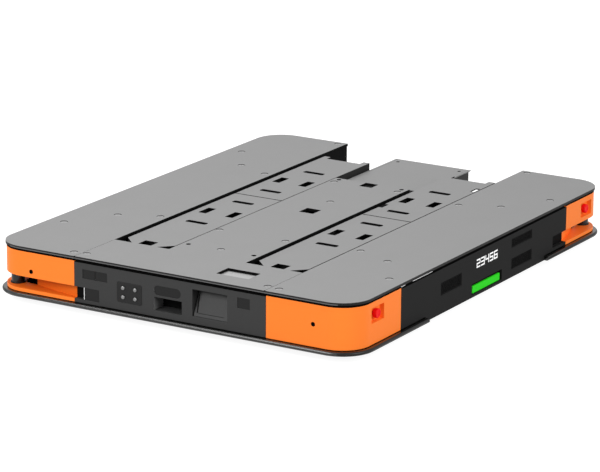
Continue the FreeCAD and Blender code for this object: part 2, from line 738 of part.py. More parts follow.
def deck_screws():
    """Low-head screws that hold the deck sheets."""
    screws = []
    seat = DECK_TOP - DECK_SCREW_SINK
    for x, y in deck_screw_places():
        head = rod(DECK_SCREW_HEAD_R, DECK_SCREW_SINK - DECK_SCREW_BELOW, (x, y, seat), (0, 0, 1))
        shank = rod(DECK_SCREW_SHANK_R, seat - FRAME_BOTTOM, (x, y, FRAME_BOTTOM), (0, 0, 1))
        screws.append(union([head, shank]))
    return screws


def centre_outline(z, shrink):
    """T-shaped plan of the centre deck plate."""
    cross_x, stem_x = CHANNEL_OUTER_X - shrink, CHANNEL_INNER_X
    cross_y, end_y = along(FRONT_CROSS_DEPTH), along(STEM_END)
    return prism_z([(-cross_x, FRONT - PAST), (cross_x, FRONT - PAST), (cross_x, cross_y), (stem_x, cross_y),
                    (stem_x, end_y), (-stem_x, end_y), (-stem_x, cross_y), (-cross_x, cross_y)], z)


def deck_plates():
    """Left, centre and right deck sheets."""
    z = (SHEET_BOTTOM, DECK_TOP)
    whole = slab(0, z)
    cuts = deck_openings() + screw_seats()
    reliefs = []
    for x in (-CHANNEL_OUTER_X, CHANNEL_OUTER_X):
        relief_x = (x - RELIEF_HALF, x + RELIEF_HALF)
        reliefs.append(box(relief_x, (FRONT - PAST, FRONT + RELIEF_DEPTH), (z[0] - PAST, z[1] + PAST)))
    centre = whole.common(centre_outline(z, SEAM / 2)).cut(cuts + reliefs)
    side = box((CHANNEL_OUTER_X + SEAM / 2, HALF_W + PAST), (FRONT - PAST, BACK + PAST), z)
    right = whole.common(side).cut(cuts + reliefs)
    left = whole.common(mirrored(side, across_x=True)).cut(cuts + reliefs)
    return left, centre, right


def top_frame():
    """Frame plate below the deck sheets, open over both channels and behind the stem."""
    z = (FRAME_BOTTOM, SHEET_BOTTOM)
    whole = slab(0, z)
    rims = [e for e in whole.Edges if e.BoundBox.ZMin > SHEET_BOTTOM - LEVEL]
    whole = whole.makeChamfer(FRAME_CHAMFER, rims)
    start, end = along(FRONT_CROSS_DEPTH), BACK + PAST
    past_z = (z[0] - PAST, z[1] + PAST)
    channel = box((CHANNEL_INNER_X, CHANNEL_OUTER_X), (start, end), past_z)
    behind = box((-CHANNEL_OUTER_X, CHANNEL_OUTER_X), (along(STEM_END), end), past_z)
    shanks = []
    for x, y in deck_screw_places():
        shanks.append(rod(DECK_SCREW_SHANK_R, DECK_THROUGH, (x, y, FRAME_BOTTOM - PAST), (0, 0, 1)))
    return whole.cut([channel, mirrored(channel, across_x=True), behind] + deck_openings() + shanks)


def well_x():
    """Inner and outer X of the right well's walls."""
    return CHANNEL_INNER_X - WELL_MARGIN - WELL_SHEET, CHANNEL_OUTER_X + WELL_MARGIN + WELL_SHEET


def lift_well():
    """Folded trough that forms the right channel, with its side walls and front wall."""
    inner, outer = well_x()
    start, end, wall_top = well_start(), along(WELL_END), FRAME_BOTTOM
    floor = box((inner, outer), (start, end), (PAN_TOP, WELL_FLOOR_TOP))
    inner_wall = box((inner, inner + WELL_SHEET), (start, along(STEM_END) - SEAM), (PAN_TOP, wall_top))
    outer_wall = box((outer - WELL_SHEET, outer), (start, BACK - SKIN_SETBACK), (PAN_TOP, wall_top))
    flange_x = (outer - WELL_SHEET, outer + WELL_FLANGE)
    flange_y = (start, BACK - WELL_FLANGE_END)
    foot = box(flange_x, flange_y, (PAN_TOP, WELL_FLOOR_TOP))
    head = box(flange_x, flange_y, (wall_top - WELL_FLOOR, wall_top))
    front_wall = box((inner, outer), (start, start + WELL_SHEET), (PAN_TOP, wall_top))
    hole = rod(SCREW_R + SCREW_HOLE_GAP, 4 * PAST, (LIFT_X, start - PAST, SCREW_Z), (0, 1, 0))
    beside_cover = box((inner - PAST, bay_cover_x()), (along(STEM_END) - SEAM, end + PAST), (0, DECK_TOP))
    return union([floor, inner_wall, outer_wall, foot, head, front_wall]).cut([hole, beside_cover])


def well_start():
    """Y of the well's front wall."""
    return along(FRONT_CROSS_DEPTH) - WELL_MARGIN


def base_pan():
    """Floor pan with openings for the wheels and a notch behind each channel."""
    z = (GROUND_CLEARANCE, PAN_TOP)
    past_z = (z[0] - PAST, z[1] + PAST)
    pan = slab(BUMPER_INSET, z)
    inner, outer = well_x()
    half_x = WHEEL_W / 2 + WHEEL_OPENING_GAP
    half_y = math.sqrt(WHEEL_R ** 2 - (WHEEL_R - PAN_TOP) ** 2) + WHEEL_OPENING_GAP
    cuts = []
    for sx in (-1, 1):
        x = sx * WHEEL_X
        cuts.append(rounded_box((x - half_x, x + half_x), (-half_y, half_y), past_z, PAN_ROUND, "z"))
        for sy in (-1, 1):
            place = (sx * CASTOR_X, sy * CASTOR_Y, past_z[0])
            cuts.append(rod(castor_sweep() + CASTOR_OPENING_GAP, past_z[1] - past_z[0], place, (0, 0, 1)))
    notch = box((inner, outer), (along(WELL_END), BACK + PAST), past_z)
    cuts += [notch, mirrored(notch, across_x=True)]
    return pan.cut(cuts)


def castor_sweep():
    """Radius that a castor sweeps when it swivels."""
    return math.hypot(CASTOR_TRAIL + CASTOR_R, CASTOR_W / 2)


def castor_mounts():
    """Bridge over each castor opening, with the outer race of the swivel bearing."""
    mounts = []
    inside = castor_sweep() + CASTOR_OPENING_GAP + CASTOR_LEG_GAP
    outside = inside + CASTOR_LEG_T
    for sx in (-1, 1):
        for sy in (-1, 1):
            x, y = sx * CASTOR_X, sy * CASTOR_Y
            x_span = (x - CASTOR_PLATE_HALF, x + CASTOR_PLATE_HALF)
            parts = [box(x_span, (y - outside, y + outside), (CASTOR_PLATE_Z, CASTOR_PLATE_TOP))]
            for s in (-1, 1):
                leg_y = sorted((y + s * inside, y + s * outside))
                foot_y = sorted((y + s * inside, y + s * (inside + CASTOR_FOOT_L)))
                parts.append(box(x_span, leg_y, (PAN_TOP, CASTOR_PLATE_TOP)))
                parts.append(box(x_span, foot_y, (PAN_TOP, PAN_TOP + CASTOR_FOOT_T)))
            race_bottom = CASTOR_CROWN_TOP + SLIDE_GAP
            parts.append(rod(CASTOR_RACE_R, CASTOR_PLATE_Z - race_bottom, (x, y, race_bottom), (0, 0, 1)))
            bore = rod(CASTOR_PIN_R + SHAFT_GAP, 4 * PAST, (x, y, race_bottom - PAST), (0, 0, 1))
            mounts.append(union(parts).cut(bore))
    return mounts


def castor_fork(x, y):
    """Fork, kingpin and axle of one castor, trailing towards the back."""
    crown_bottom = CASTOR_CROWN_TOP - CASTOR_CROWN_T
    nut_z = CASTOR_PLATE_TOP + SLIDE_GAP
    crown = rod(CASTOR_CROWN_R, CASTOR_CROWN_T, (x, y, crown_bottom), (0, 0, 1))
    pin = rod(CASTOR_PIN_R, nut_z - crown_bottom, (x, y, crown_bottom), (0, 0, 1))
    nut = rod(CASTOR_NUT_R, CASTOR_NUT_T, (x, y, nut_z), (0, 0, 1))
    axle_y, axle_z = y + CASTOR_TRAIL, CASTOR_R
    legs = []
    gap = CASTOR_W / 2 + CASTOR_SIDE_GAP
    for s in (-1, 1):
        leg_x = sorted((x + s * gap, x + s * (gap + FORK_SHEET)))
        outline = [(y - FORK_TOP[0], crown_bottom), (axle_y - FORK_FOOT, axle_z),
                   (axle_y - FORK_TOE, axle_z - FORK_FOOT), (axle_y + FORK_TOE, axle_z - FORK_FOOT),
                   (axle_y + FORK_FOOT, axle_z), (y + FORK_TOP[1], crown_bottom)]
        legs.append(prism_x(outline, leg_x))
    axle_half = gap + FORK_SHEET + CASTOR_AXLE_PROUD
    axle = rod(CASTOR_AXLE_R, 2 * axle_half, (x - axle_half, axle_y, axle_z), (1, 0, 0))
    return union([crown, pin, nut, axle] + legs)


def castor_wheel(x, y):
    """Castor wheel with a crowned tread and a bored hub."""
    axle_y, axle_z = y + CASTOR_TRAIL, CASTOR_R
    half = CASTOR_W / 2
    wheel = rod(CASTOR_R, CASTOR_W, (x - half, axle_y, axle_z), (1, 0, 0))
    rims = [e for e in wheel.Edges if e.Curve.TypeId == "Part::GeomCircle"]
    wheel = wheel.makeFillet(CASTOR_TREAD_ROUND, rims)
    bore = rod(CASTOR_AXLE_R + SHAFT_GAP, CASTOR_W + 2 * PAST, (x - half - PAST, axle_y, axle_z), (1, 0, 0))
    dishes, hubs = [], []
    for start in (x - half, x + half - CASTOR_DISH):
        dishes.append(rod(CASTOR_DISH_R, CASTOR_DISH, (start, axle_y, axle_z), (1, 0, 0)))
        hubs.append(rod(CASTOR_HUB_R, CASTOR_DISH, (start, axle_y, axle_z), (1, 0, 0)))
    return union([wheel.cut(dishes)] + hubs).cut(bore)


def drive_tyre():
    """Rubber tread of the right drive wheel."""
    x = WHEEL_X - WHEEL_W / 2
    tyre = rod(WHEEL_R, WHEEL_W, (x, 0, WHEEL_R), (1, 0, 0))
    rims = [e for e in tyre.Edges if e.Curve.TypeId == "Part::GeomCircle"]
    inside = rod(WHEEL_R - TYRE_T, WHEEL_W + 2 * PAST, (x - PAST, 0, WHEEL_R), (1, 0, 0))
    return tyre.makeFillet(TYRE_ROUND, rims).cut(inside)


def drive_hub():
    """Dished hub of the right drive wheel with lightening holes and its shaft."""
    x = WHEEL_X - WHEEL_W / 2
    rim_r = WHEEL_R - TYRE_T
    rim = rod(rim_r, WHEEL_W, (x, 0, WHEEL_R), (1, 0, 0))
    cuts = [rod(rim_r - HUB_RIM_T, HUB_DISH_OUT, (x + WHEEL_W - HUB_DISH_OUT, 0, WHEEL_R), (1, 0, 0)),
            rod(rim_r - HUB_RIM_T, HUB_DISH_IN, (x, 0, WHEEL_R), (1, 0, 0))]
    for number in range(HUB_HOLES):
        turn = 2 * math.pi * number / HUB_HOLES
        place = (x, HUB_HOLE_PITCH_R * math.cos(turn), WHEEL_R + HUB_HOLE_PITCH_R * math.sin(turn))
        cuts.append(rod(HUB_HOLE_R, WHEEL_W, place, (1, 0, 0)))
    boss = rod(HUB_BOSS_R, HUB_BOSS_L, (x, 0, WHEEL_R), (1, 0, 0))
    shaft = rod(DRIVE_SHAFT_R, DRIVE_SHAFT_L, (x - DRIVE_SHAFT_L, 0, WHEEL_R), (1, 0, 0))
    return union([rim.cut(cuts), boss, shaft])


def gearmotor():
    """Right drive motor, its gearbox and the bracket that stands on the pan."""
    face = WHEEL_X - WHEEL_W / 2 - MOTOR_GAP
    gearbox = rod(GEARBOX_R, GEARBOX_L, (face - GEARBOX_L, 0, WHEEL_R), (1, 0, 0))
    motor = rod(MOTOR_R, MOTOR_L, (face - GEARBOX_L - MOTOR_L, 0, WHEEL_R), (1, 0, 0))
    cheek_y = (-GEARBOX_R - BRACKET_RIM, GEARBOX_R + BRACKET_RIM)
    cheek_x = face - GEARBOX_L / 2
    bracket = box((cheek_x, cheek_x + BRACKET_T), cheek_y, (PAN_TOP, WHEEL_R + GEARBOX_R + BRACKET_RIM / 2))
    foot_x = (cheek_x + BRACKET_T - BRACKET_FOOT_L, cheek_x + BRACKET_T)
    foot = box(foot_x, cheek_y, (PAN_TOP, PAN_TOP + BRACKET_FOOT_T))
    foot = foot.cut(rod(GEARBOX_R, BRACKET_FOOT_L + 2 * PAST, (foot_x[0] - PAST, 0, WHEEL_R), (1, 0, 0)))
    bore_start = face + MOTOR_GAP - DRIVE_SHAFT_L - SHAFT_GAP
    bore = rod(DRIVE_SHAFT_R + SHAFT_GAP, DRIVE_SHAFT_L, (bore_start, 0, WHEEL_R), (1, 0, 0))
    return union([gearbox, motor, bracket, foot]).cut(bore)


def scanner():
    """Laser scanner at the front right corner: foot, window barrel and body."""
    x, y = scanner_centre()
    brim = SLOT_TOP - SCANNER_FOOT
    foot = rod(SCANNER_HEAD_R + SCANNER_FOOT, SCANNER_FOOT_T, (x, y, SLOT_BOTTOM), (0, 0, 1))
    head = rod(SCANNER_HEAD_R, brim - SLOT_BOTTOM, (x, y, SLOT_BOTTOM), (0, 0, 1))
    body = rod(SCANNER_BODY_R, SCANNER_TOP - brim, (x, y, brim), (0, 0, 1))
    rims = [e for e in body.Edges if e.Curve.TypeId == "Part::GeomCircle" and e.BoundBox.ZMin > SLOT_TOP]
    return union([foot, head, body.makeFillet(SCANNER_ROUND, rims)])


def estop_button(distance):
    """Emergency stop button, at the front right."""
    y = along(distance)
    seat = FACE_X - ESTOP_POCKET_DEPTH + ESTOP_TRAVEL + 2 * SLIDE_GAP
    head = rod(ESTOP_HEAD_R, ESTOP_HEAD_T, (seat, y, ESTOP_Z), (1, 0, 0))
    rims = [e for e in head.Edges if e.Curve.TypeId == "Part::GeomCircle" and e.BoundBox.XMin > seat + SEAM]
    stem = rod(ESTOP_STEM_R, ESTOP_STEM_L, (seat - ESTOP_STEM_L, y, ESTOP_Z), (1, 0, 0))
    return union([head.makeFillet(ESTOP_ROUND, rims), stem])


def estop_block(distance):
    """Contact block behind an emergency stop, at the front right."""
    y = along(distance)
    face = FACE_X - ESTOP_POCKET_DEPTH - SKIN_SHEET
    half = ESTOP_BLOCK / 2
    block = box((face - ESTOP_BLOCK_L, face), (y - half, y + half), (ESTOP_Z - half, ESTOP_Z + half))
    hollow = face - ESTOP_STEM_L + SKIN_SHEET - 2 * SLIDE_GAP
    return block.cut(rod(ESTOP_STEM_R + SHAFT_GAP, face + PAST - hollow, (hollow, y, ESTOP_Z), (1, 0, 0)))


def lift_plates(middle, notched):
    """Front and rear top sheets of a lifting platform on this centre line, with their flanges."""
    low, high = middle - LIFT_WIDTH / 2, middle + LIFT_WIDTH / 2
    start, split, end = along(LIFT_START), along(LIFT_SPLIT), along(LIFT_END)
    z = (LIFT_UNDER, LIFT_TOP)
    front = prism_z([(low + LIFT_CHAMFER, start), (high - LIFT_CHAMFER, start), (high, start + LIFT_CHAMFER),
                     (high, split - SEAM), (low, split - SEAM), (low, start + LIFT_CHAMFER)], z)
    tip, ear_low, ear_high = end + LIFT_EAR, low + LIFT_EAR_W, high - LIFT_EAR_W
    rear = prism_z([(low, split + SEAM), (high, split + SEAM), (high, tip), (ear_high, tip),
                    (ear_high, end), (ear_low, end), (ear_low, tip), (low, tip)], z)
    plates = []
    for plate, y in ((front, (start + LIFT_CHAMFER, split - SEAM)), (rear, (split + SEAM, tip))):
        flanges = []
        for edge, inward in ((low, 1), (high, -1)):
            x = sorted((edge, edge + inward * LIFT_FLANGE_SHEET))
            flanges.append(box(x, y, (LIFT_TOP - LIFT_FLANGE, LIFT_TOP)))
        plates.append(union([plate] + flanges))
    cuts = lift_plate_holes(middle)
    if notched:
        cuts += lift_notches(low + LIFT_FLANGE_SHEET, high - LIFT_FLANGE_SHEET)
    return [plate.cut(cuts) for plate in plates]


def lift_plate_holes(middle):
    """Access holes and slots in the sheets of a platform on this centre line."""
    z = (LIFT_UNDER - PAST, LIFT_TOP + PAST)
    near, far = (along(distance) for distance in LIFT_FRONT_HOLE)
    cuts = [box((middle - LIFT_FRONT_HOLE_HALF, middle + LIFT_FRONT_HOLE_HALF), (near, far), z)]
    slot_x = (middle + LIFT_SLOT_X[0], middle + LIFT_SLOT_X[1])
    for distance in LIFT_SLOT_Y:
        y = along(distance)
        cuts.append(rounded_box(slot_x, (y - LIFT_SLOT_HALF, y + LIFT_SLOT_HALF), z, LIFT_SLOT_ROUND, "z"))
    for near, far in LIFT_WINDOWS:
        for side in (-1, 1):
            x = middle + side * LIFT_WINDOW_OFFSET
            window_x = (x - LIFT_WINDOW_HALF, x + LIFT_WINDOW_HALF)
            cuts.append(box(window_x, (along(near), along(far)), z))
    return cuts


def lift_notches(inner_x, outer_x):
    """Notches in the rear sheet beside the flanges that stand at these two X values."""
    z = (LIFT_UNDER - PAST, LIFT_TOP + PAST)
    inner_y = tuple(along(distance) for distance in LIFT_INNER_NOTCH)
    outer_y = tuple(along(distance) for distance in LIFT_OUTER_NOTCH)
    return [box((inner_x, inner_x + LIFT_INNER_NOTCH_W), inner_y, z),
            box((outer_x - LIFT_OUTER_NOTCH_W, outer_x), outer_y, z)]


def lift_frame():
    """Rails, crossbars, guide bushes and upper wedge blocks below the right platform."""
    bottom = LIFT_TOP - LIFT_FLANGE - LIFT_FRAME_DROP
    z = (bottom, LIFT_UNDER)
    half = CROSSBAR_W / 2
    start, end = along(CROSSBARS[0]) - half, along(CROSSBARS[-1]) + half
    parts = []
    for side in (-1, 1):
        x = sorted((LIFT_X + side * RAIL_X[0], LIFT_X + side * RAIL_X[1]))
        parts.append(box(x, (start, end), z))
    for distance in CROSSBARS:
        y = along(distance)
        parts.append(box((LIFT_X - RAIL_X[0], LIFT_X + RAIL_X[0]), (y - half, y + half), z))
    bores = []
    for side in (-1, 1):
        for distance in POST_Y:
            place = (LIFT_X + side * POST_X, along(distance))
            parts.append(rod(BUSH_R, bottom - BUSH_BOTTOM, (*place, BUSH_BOTTOM), (0, 0, 1)))
            bore_start = BUSH_BOTTOM - PAST
            bores.append(rod(POST_R + SHAFT_GAP, DECK_TOP - bore_start, (*place, bore_start), (0, 0, 1)))
        parts += upper_wedges(side, bottom)
    return union(parts).cut(bores)


def wedge_height(y, thin_y):
    """Height of the lower wedge's slope above its thin end."""
    return (thin_y - y) * math.tan(math.radians(WEDGE_ANGLE))


def upper_wedges(side, top):
    """Wedge blocks under two of the crossbars, on one side of the screw."""
    x = sorted((LIFT_X + side * WEDGE_X[0], LIFT_X + side * WEDGE_X[1]))
    foot = CARRIAGE_Z[1] + WEDGE_FOOT + SLIDE_GAP
    blocks = []
    for distance in WEDGE_Y:
        near, far = along(distance) - WEDGE_BLOCK / 2, along(distance) + WEDGE_BLOCK / 2
        outline = [(far, foot), (far, top), (near, top), (near, foot + wedge_height(near, far))]
        blocks.append(prism_x(outline, x))
    return blocks


def wedge_carriage():
    """Carriage with four lower wedges and the screw nut, below the right platform."""
    thin = [along(distance) + WEDGE_BLOCK / 2 for distance in WEDGE_Y]
    run = WEDGE_BLOCK + WEDGE_TRAVEL
    start, end = thin[0] - run, thin[1]
    wide = (LIFT_X - WEDGE_X[1], LIFT_X + WEDGE_X[1])
    foot, toe = CARRIAGE_Z[1], CARRIAGE_Z[1] + WEDGE_FOOT
    parts = []
    for side in (-1, 1):
        x = sorted((LIFT_X + side * WEDGE_X[0], LIFT_X + side * WEDGE_X[1]))
        parts.append(box(x, (start, end), CARRIAGE_Z))
        for thin_y in thin:
            thick_y = thin_y - run
            peak = toe + wedge_height(thick_y, thin_y)
            parts.append(prism_x([(thin_y, foot), (thin_y, toe), (thick_y, peak), (thick_y, foot)], x))
    nut_y = (nut_start(), nut_start() + NUT_L)
    parts.append(box(wide, nut_y, CARRIAGE_Z))
    parts.append(box((LIFT_X - NUT_HALF, LIFT_X + NUT_HALF), nut_y, (CARRIAGE_Z[0], SCREW_Z + NUT_RISE)))
    tie_y = end - TIE_SETBACK
    parts.append(box(wide, (tie_y - TIE_W, tie_y), CARRIAGE_Z))
    bore = rod(SCREW_R + SHAFT_GAP, NUT_L + 2 * PAST, (LIFT_X, nut_y[0] - PAST, SCREW_Z), (0, 1, 0))
    return union(parts).cut(bore)


def nut_start():
    """Y of the front face of the screw nut with the platform down."""
    return along(WEDGE_Y[0]) + WEDGE_BLOCK / 2 + NUT_SETBACK


def screw_end():
    """Y of the screw's far bearing, past the nut's last position."""
    return nut_start() + NUT_L + WEDGE_TRAVEL + SCREW_RUN_OUT


def lift_screw():
    """Lead screw of the right platform."""
    start = well_start() + WELL_MARGIN - SCREW_LEAD_IN
    return rod(SCREW_R, screw_end() + BEARING_T - start, (LIFT_X, start, SCREW_Z), (0, 1, 0))


def lift_motor():
    """Motor that turns the right lead screw, bolted to the well's front wall."""
    wall = well_start()
    half = LIFT_MOTOR_FLANGE
    flange_y = (wall - LIFT_MOTOR_FLANGE_T, wall)
    flange = box((LIFT_X - half, LIFT_X + half), flange_y, (PAN_TOP, SCREW_Z + half))
    motor_start = wall - LIFT_MOTOR_FLANGE_T - LIFT_MOTOR_L
    motor = rod(LIFT_MOTOR_R, LIFT_MOTOR_L, (LIFT_X, motor_start, SCREW_Z), (0, 1, 0))
    bore_start = wall + WELL_MARGIN - SCREW_LEAD_IN - SEAM
    bore = rod(SCREW_R + SHAFT_GAP, wall + PAST - bore_start, (LIFT_X, bore_start, SCREW_Z), (0, 1, 0))
    return union([flange, motor]).cut(bore)


def lift_guides():
    """Guide posts, carriage rails and the screw's end bearing in the right well."""
    floor = WELL_FLOOR_TOP
    pieces = []
    for side in (-1, 1):
        for distance in POST_Y:
            place = (LIFT_X + side * POST_X, along(distance), floor)
            pieces.append(rod(POST_R, LIFT_UNDER - LIFT_FRAME_DROP - floor, place, (0, 0, 1)))
        near, far = WEDGE_X[0] + GUIDE_RAIL_INSET, WEDGE_X[1] - GUIDE_RAIL_INSET
        x = sorted((LIFT_X + side * near, LIFT_X + side * far))
        start = along(WEDGE_Y[0]) - WEDGE_BLOCK / 2 - WEDGE_TRAVEL
        end = along(WEDGE_Y[1]) + WEDGE_BLOCK / 2 + WEDGE_TRAVEL
        pieces.append(box(x, (start, end), (floor, CARRIAGE_Z[0] - SLIDE_GAP)))
    y = screw_end()
    half = BEARING_HALF
    bearing = box((LIFT_X - half, LIFT_X + half), (y, y + BEARING_T), (floor, SCREW_Z + half))
    bore = rod(SCREW_R + SHAFT_GAP, BEARING_T + 2 * PAST, (LIFT_X, y - PAST, SCREW_Z), (0, 1, 0))
    pieces.append(bearing.cut(bore))
    return pieces


def bay_cover_x():
    """X of the outer face of the cover behind the centre plate."""
    return CHANNEL_INNER_X - BAY_COVER_MARGIN


def rear_cover():
    """Folded cover behind the stem, over the electronics bay."""
    x, sheet = bay_cover_x(), BAY_COVER_SHEET
    top = DECK_TOP - BAY_COVER_DROP
    y = (along(STEM_END) - BAY_COVER_LAP, BACK - BAY_COVER_REAR_GAP)
    outer = box((-x, x), y, (PAN_TOP, top))
    edges = [e for e in outer.Edges if e.BoundBox.ZMin > top - LEVEL and e.BoundBox.XLength < LEVEL]
    outer = outer.makeFillet(BAY_COVER_ROUND, edges)
    inside = box((-x + sheet, x - sheet), (y[0] - PAST, y[1] - sheet), (PAN_TOP - PAST, top - sheet))
    lap_y = (y[0] - PAST, along(STEM_END))
    below_lap = box((-x - PAST, x + PAST), lap_y, (PAN_TOP - PAST, top - sheet))
    tongue_x = well_x()[0] - SEAM
    shoulders = []
    for s in (-1, 1):
        shoulder_x = sorted((s * tongue_x, s * (x + PAST)))
        shoulders.append(box(shoulder_x, lap_y, (PAN_TOP - PAST, top + PAST)))
    hole_y = BACK - BAY_HOLE_EDGE
    holes = [rod(BAY_HOLE_R, 2 * PAST, (s * BAY_HOLE_X, hole_y, top - PAST), (0, 0, 1)) for s in (-1, 1)]
    return outer.cut([inside, below_lap] + shoulders + holes)


def battery_pack():
    """Battery in the tunnel between the wells, with cooling grooves across its lid."""
    half = BATTERY_HALF_X
    case = rounded_box((-half, half), BATTERY_Y, (PAN_TOP, BATTERY_TOP), BATTERY_ROUND, "z")
    grooves = []
    for number in range(BATTERY_GROOVES):
        y = BATTERY_Y[0] + BATTERY_GROOVE_START + number * BATTERY_GROOVE_PITCH
        z = (BATTERY_TOP - BATTERY_GROOVE_DEPTH, BATTERY_TOP + PAST)
        grooves.append(box((-half - PAST, half + PAST), (y, y + BATTERY_GROOVE_W), z))
    return case.cut(grooves)


def controller():
    """Control computer behind the battery, with a finned lid."""
    half, y = CONTROLLER_HALF_X, CONTROLLER_Y
    case = box((-half, half), y, (PAN_TOP, CONTROLLER_TOP))
    first = -half + FIN_MARGIN
    pitch = (2 * (half - FIN_MARGIN) - FIN_T) / (FIN_COUNT - 1)
    fins = []
    for number in range(FIN_COUNT):
        x = first + number * pitch
        z = (CONTROLLER_TOP, CONTROLLER_TOP + FIN_H)
        fins.append(box((x, x + FIN_T), (y[0] + FIN_INSET, y[1] - FIN_INSET), z))
    return union([case] + fins)


def hatch_plate():
    """Light plate at the bottom of the well in the front cross."""
    x = (HATCH_X[0] - HATCH_LAP, HATCH_X[1] + HATCH_LAP)
    y = (along(HATCH_Y[0]) - HATCH_LAP, along(HATCH_Y[1]) + HATCH_LAP)
    return box(x, y, (FRAME_BOTTOM - HATCH_SHEET, FRAME_BOTTOM))


def both_sides(shape):
    """A shape drawn on the right side, with its left-hand twin."""
    return [mirrored(shape, across_x=True), shape]


def build_body():
    """Deck, frame, pan, wells and fixed inner parts."""
    left, centre, right = deck_plates()
    save("deck_left_plate", [left])
    save("deck_centre_plate", [centre])
    save("deck_right_plate", [right])
    save("deck_screws", deck_screws())
    save("top_frame", [top_frame()])
    save("base_pan", [base_pan()])
    left, right = both_sides(lift_well())
    save("lift_well_left", [left])
    save("lift_well_right", [right])
    save("hatch_plate", [hatch_plate()])
    save("rear_cover", [rear_cover()])
    save("battery_pack", [battery_pack()])
    save("controller", [controller()])


def build_skin():
    """Corner covers, panels, bumpers and what is set into them."""
    plain_front = corner_cover(COVER_FRONT_REACH, ESTOP_FRONT_Y, COVER_FACE_X)
    slotted_front = corner_cover(COVER_FRONT_REACH, ESTOP_FRONT_Y, COVER_FACE_X, COVER_FACE_X - PAST,
                                 front_slot_seam())
    rear_face_x = well_x()[1] + SEAM
    plain_rear = corner_cover(COVER_REAR_REACH, ESTOP_REAR_Y, rear_face_x)
    slotted_rear = corner_cover(COVER_REAR_REACH, ESTOP_REAR_Y, rear_face_x, SLOT_REAR_END_X,
                                rear_slot_seam())
    save("cover_front_left", [mirrored(slotted_front, across_x=True)])
    save("cover_front_right", [plain_front])
    save("cover_rear_left", [mirrored(plain_rear, across_x=True, across_y=True)])
    save("cover_rear_right", [mirrored(slotted_rear, across_y=True)])
    save("front_panel", [front_panel()])
    save("front_lenses", front_lenses())
    save("depth_camera", [depth_camera()])
    save("charge_block", [charge_block()])
    save("charge_contacts", charge_contacts())
    panel = side_panel()
    trough, void = side_slot_end(front_slot_seam())
    left = union([mirrored(panel, across_x=True), mirrored(trough, across_x=True)])
    save("side_panel_left", [left.cut(mirrored(void, across_x=True))])
    trough, void = side_slot_end(rear_slot_seam())
    right = union([panel, mirrored(trough, across_y=True)])
    save("side_panel_right", [right.cut(mirrored(void, across_y=True))])
    grilles = vent_grilles()
    save("vent_grilles", grilles + [mirrored(grille, across_x=True) for grille in grilles])
    save("status_lights", both_sides(status_light()))
    front, left, right = bumpers()
    save("bumper_front", [front])
    save("bumper_rear_left", [left])
    save("bumper_rear_right", [right])
    save("scanners", [mirrored(scanner(), across_x=True), mirrored(scanner(), across_y=True)])


def build_estops():
    """Four emergency stops and their contact blocks."""
    blocks = []
    for end, distance, to_back in (("front", ESTOP_FRONT_Y, False), ("rear", ESTOP_REAR_Y, True)):
        for side, to_left in (("left", True), ("right", False)):
            button = mirrored(estop_button(distance), across_x=to_left, across_y=to_back)
            save("estop_%s_%s" % (end, side), [button])
            blocks.append(mirrored(estop_block(distance), across_x=to_left, across_y=to_back))
    save("estop_blocks", blocks)


def build_running_gear():
    """Drive wheels, motors and castors."""
    pairs = (("drive_tyre", drive_tyre()), ("drive_hub", drive_hub()), ("gearmotor", gearmotor()))
    for name, shape in pairs:
        left, right = both_sides(shape)
        save(name + "_left", [left])
        save(name + "_right", [right])
    save("castor_mounts", castor_mounts())
    for end, sy in (("front", -1), ("rear", 1)):
        for side, sx in (("left", -1), ("right", 1)):
            x, y = sx * CASTOR_X, sy * CASTOR_Y
            save("castor_fork_%s_%s" % (end, side), [castor_fork(x, y)])
            save("castor_wheel_%s_%s" % (end, side), [castor_wheel(x, y)])


def build_lifts():
    """Both lifting platforms with their wedge drives."""
    save("lift_plates_left", lift_plates(-LIFT_X, False))
    save("lift_plates_right", lift_plates(LIFT_X, True))
    pairs = (("lift_frame", lift_frame()), ("wedge_carriage", wedge_carriage()),
             ("lift_screw", lift_screw()))
    for name, shape in pairs:
        left, right = both_sides(shape)
        save(name + "_left", [left])
        save(name + "_right", [right])
    save("lift_motors", both_sides(lift_motor()))
    guides = lift_guides()
    save("lift_guides", guides + [mirrored(piece, across_x=True) for piece in guides])


def main():
    """Build every part and write its file."""
    os.makedirs("parts", exist_ok=True)
    build_body()
    build_skin()
    build_estops()
    build_running_gear()
    build_lifts()


main()
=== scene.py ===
"""Looks of a low mobile robot with two lifting platforms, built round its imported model.

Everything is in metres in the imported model's own frame: origin on the floor under the middle of
the body, -Y to the front, +X to the right side and +Z up. Sizes in the classes are in millimetres.
"""
from __future__ import annotations

import json
import logging
import math
from contextlib import contextmanager
from dataclasses import dataclass, field
from enum import Enum
from functools import lru_cache
from typing import Callable, Iterator

import bmesh
import bpy
from mathutils import Matrix, Vector

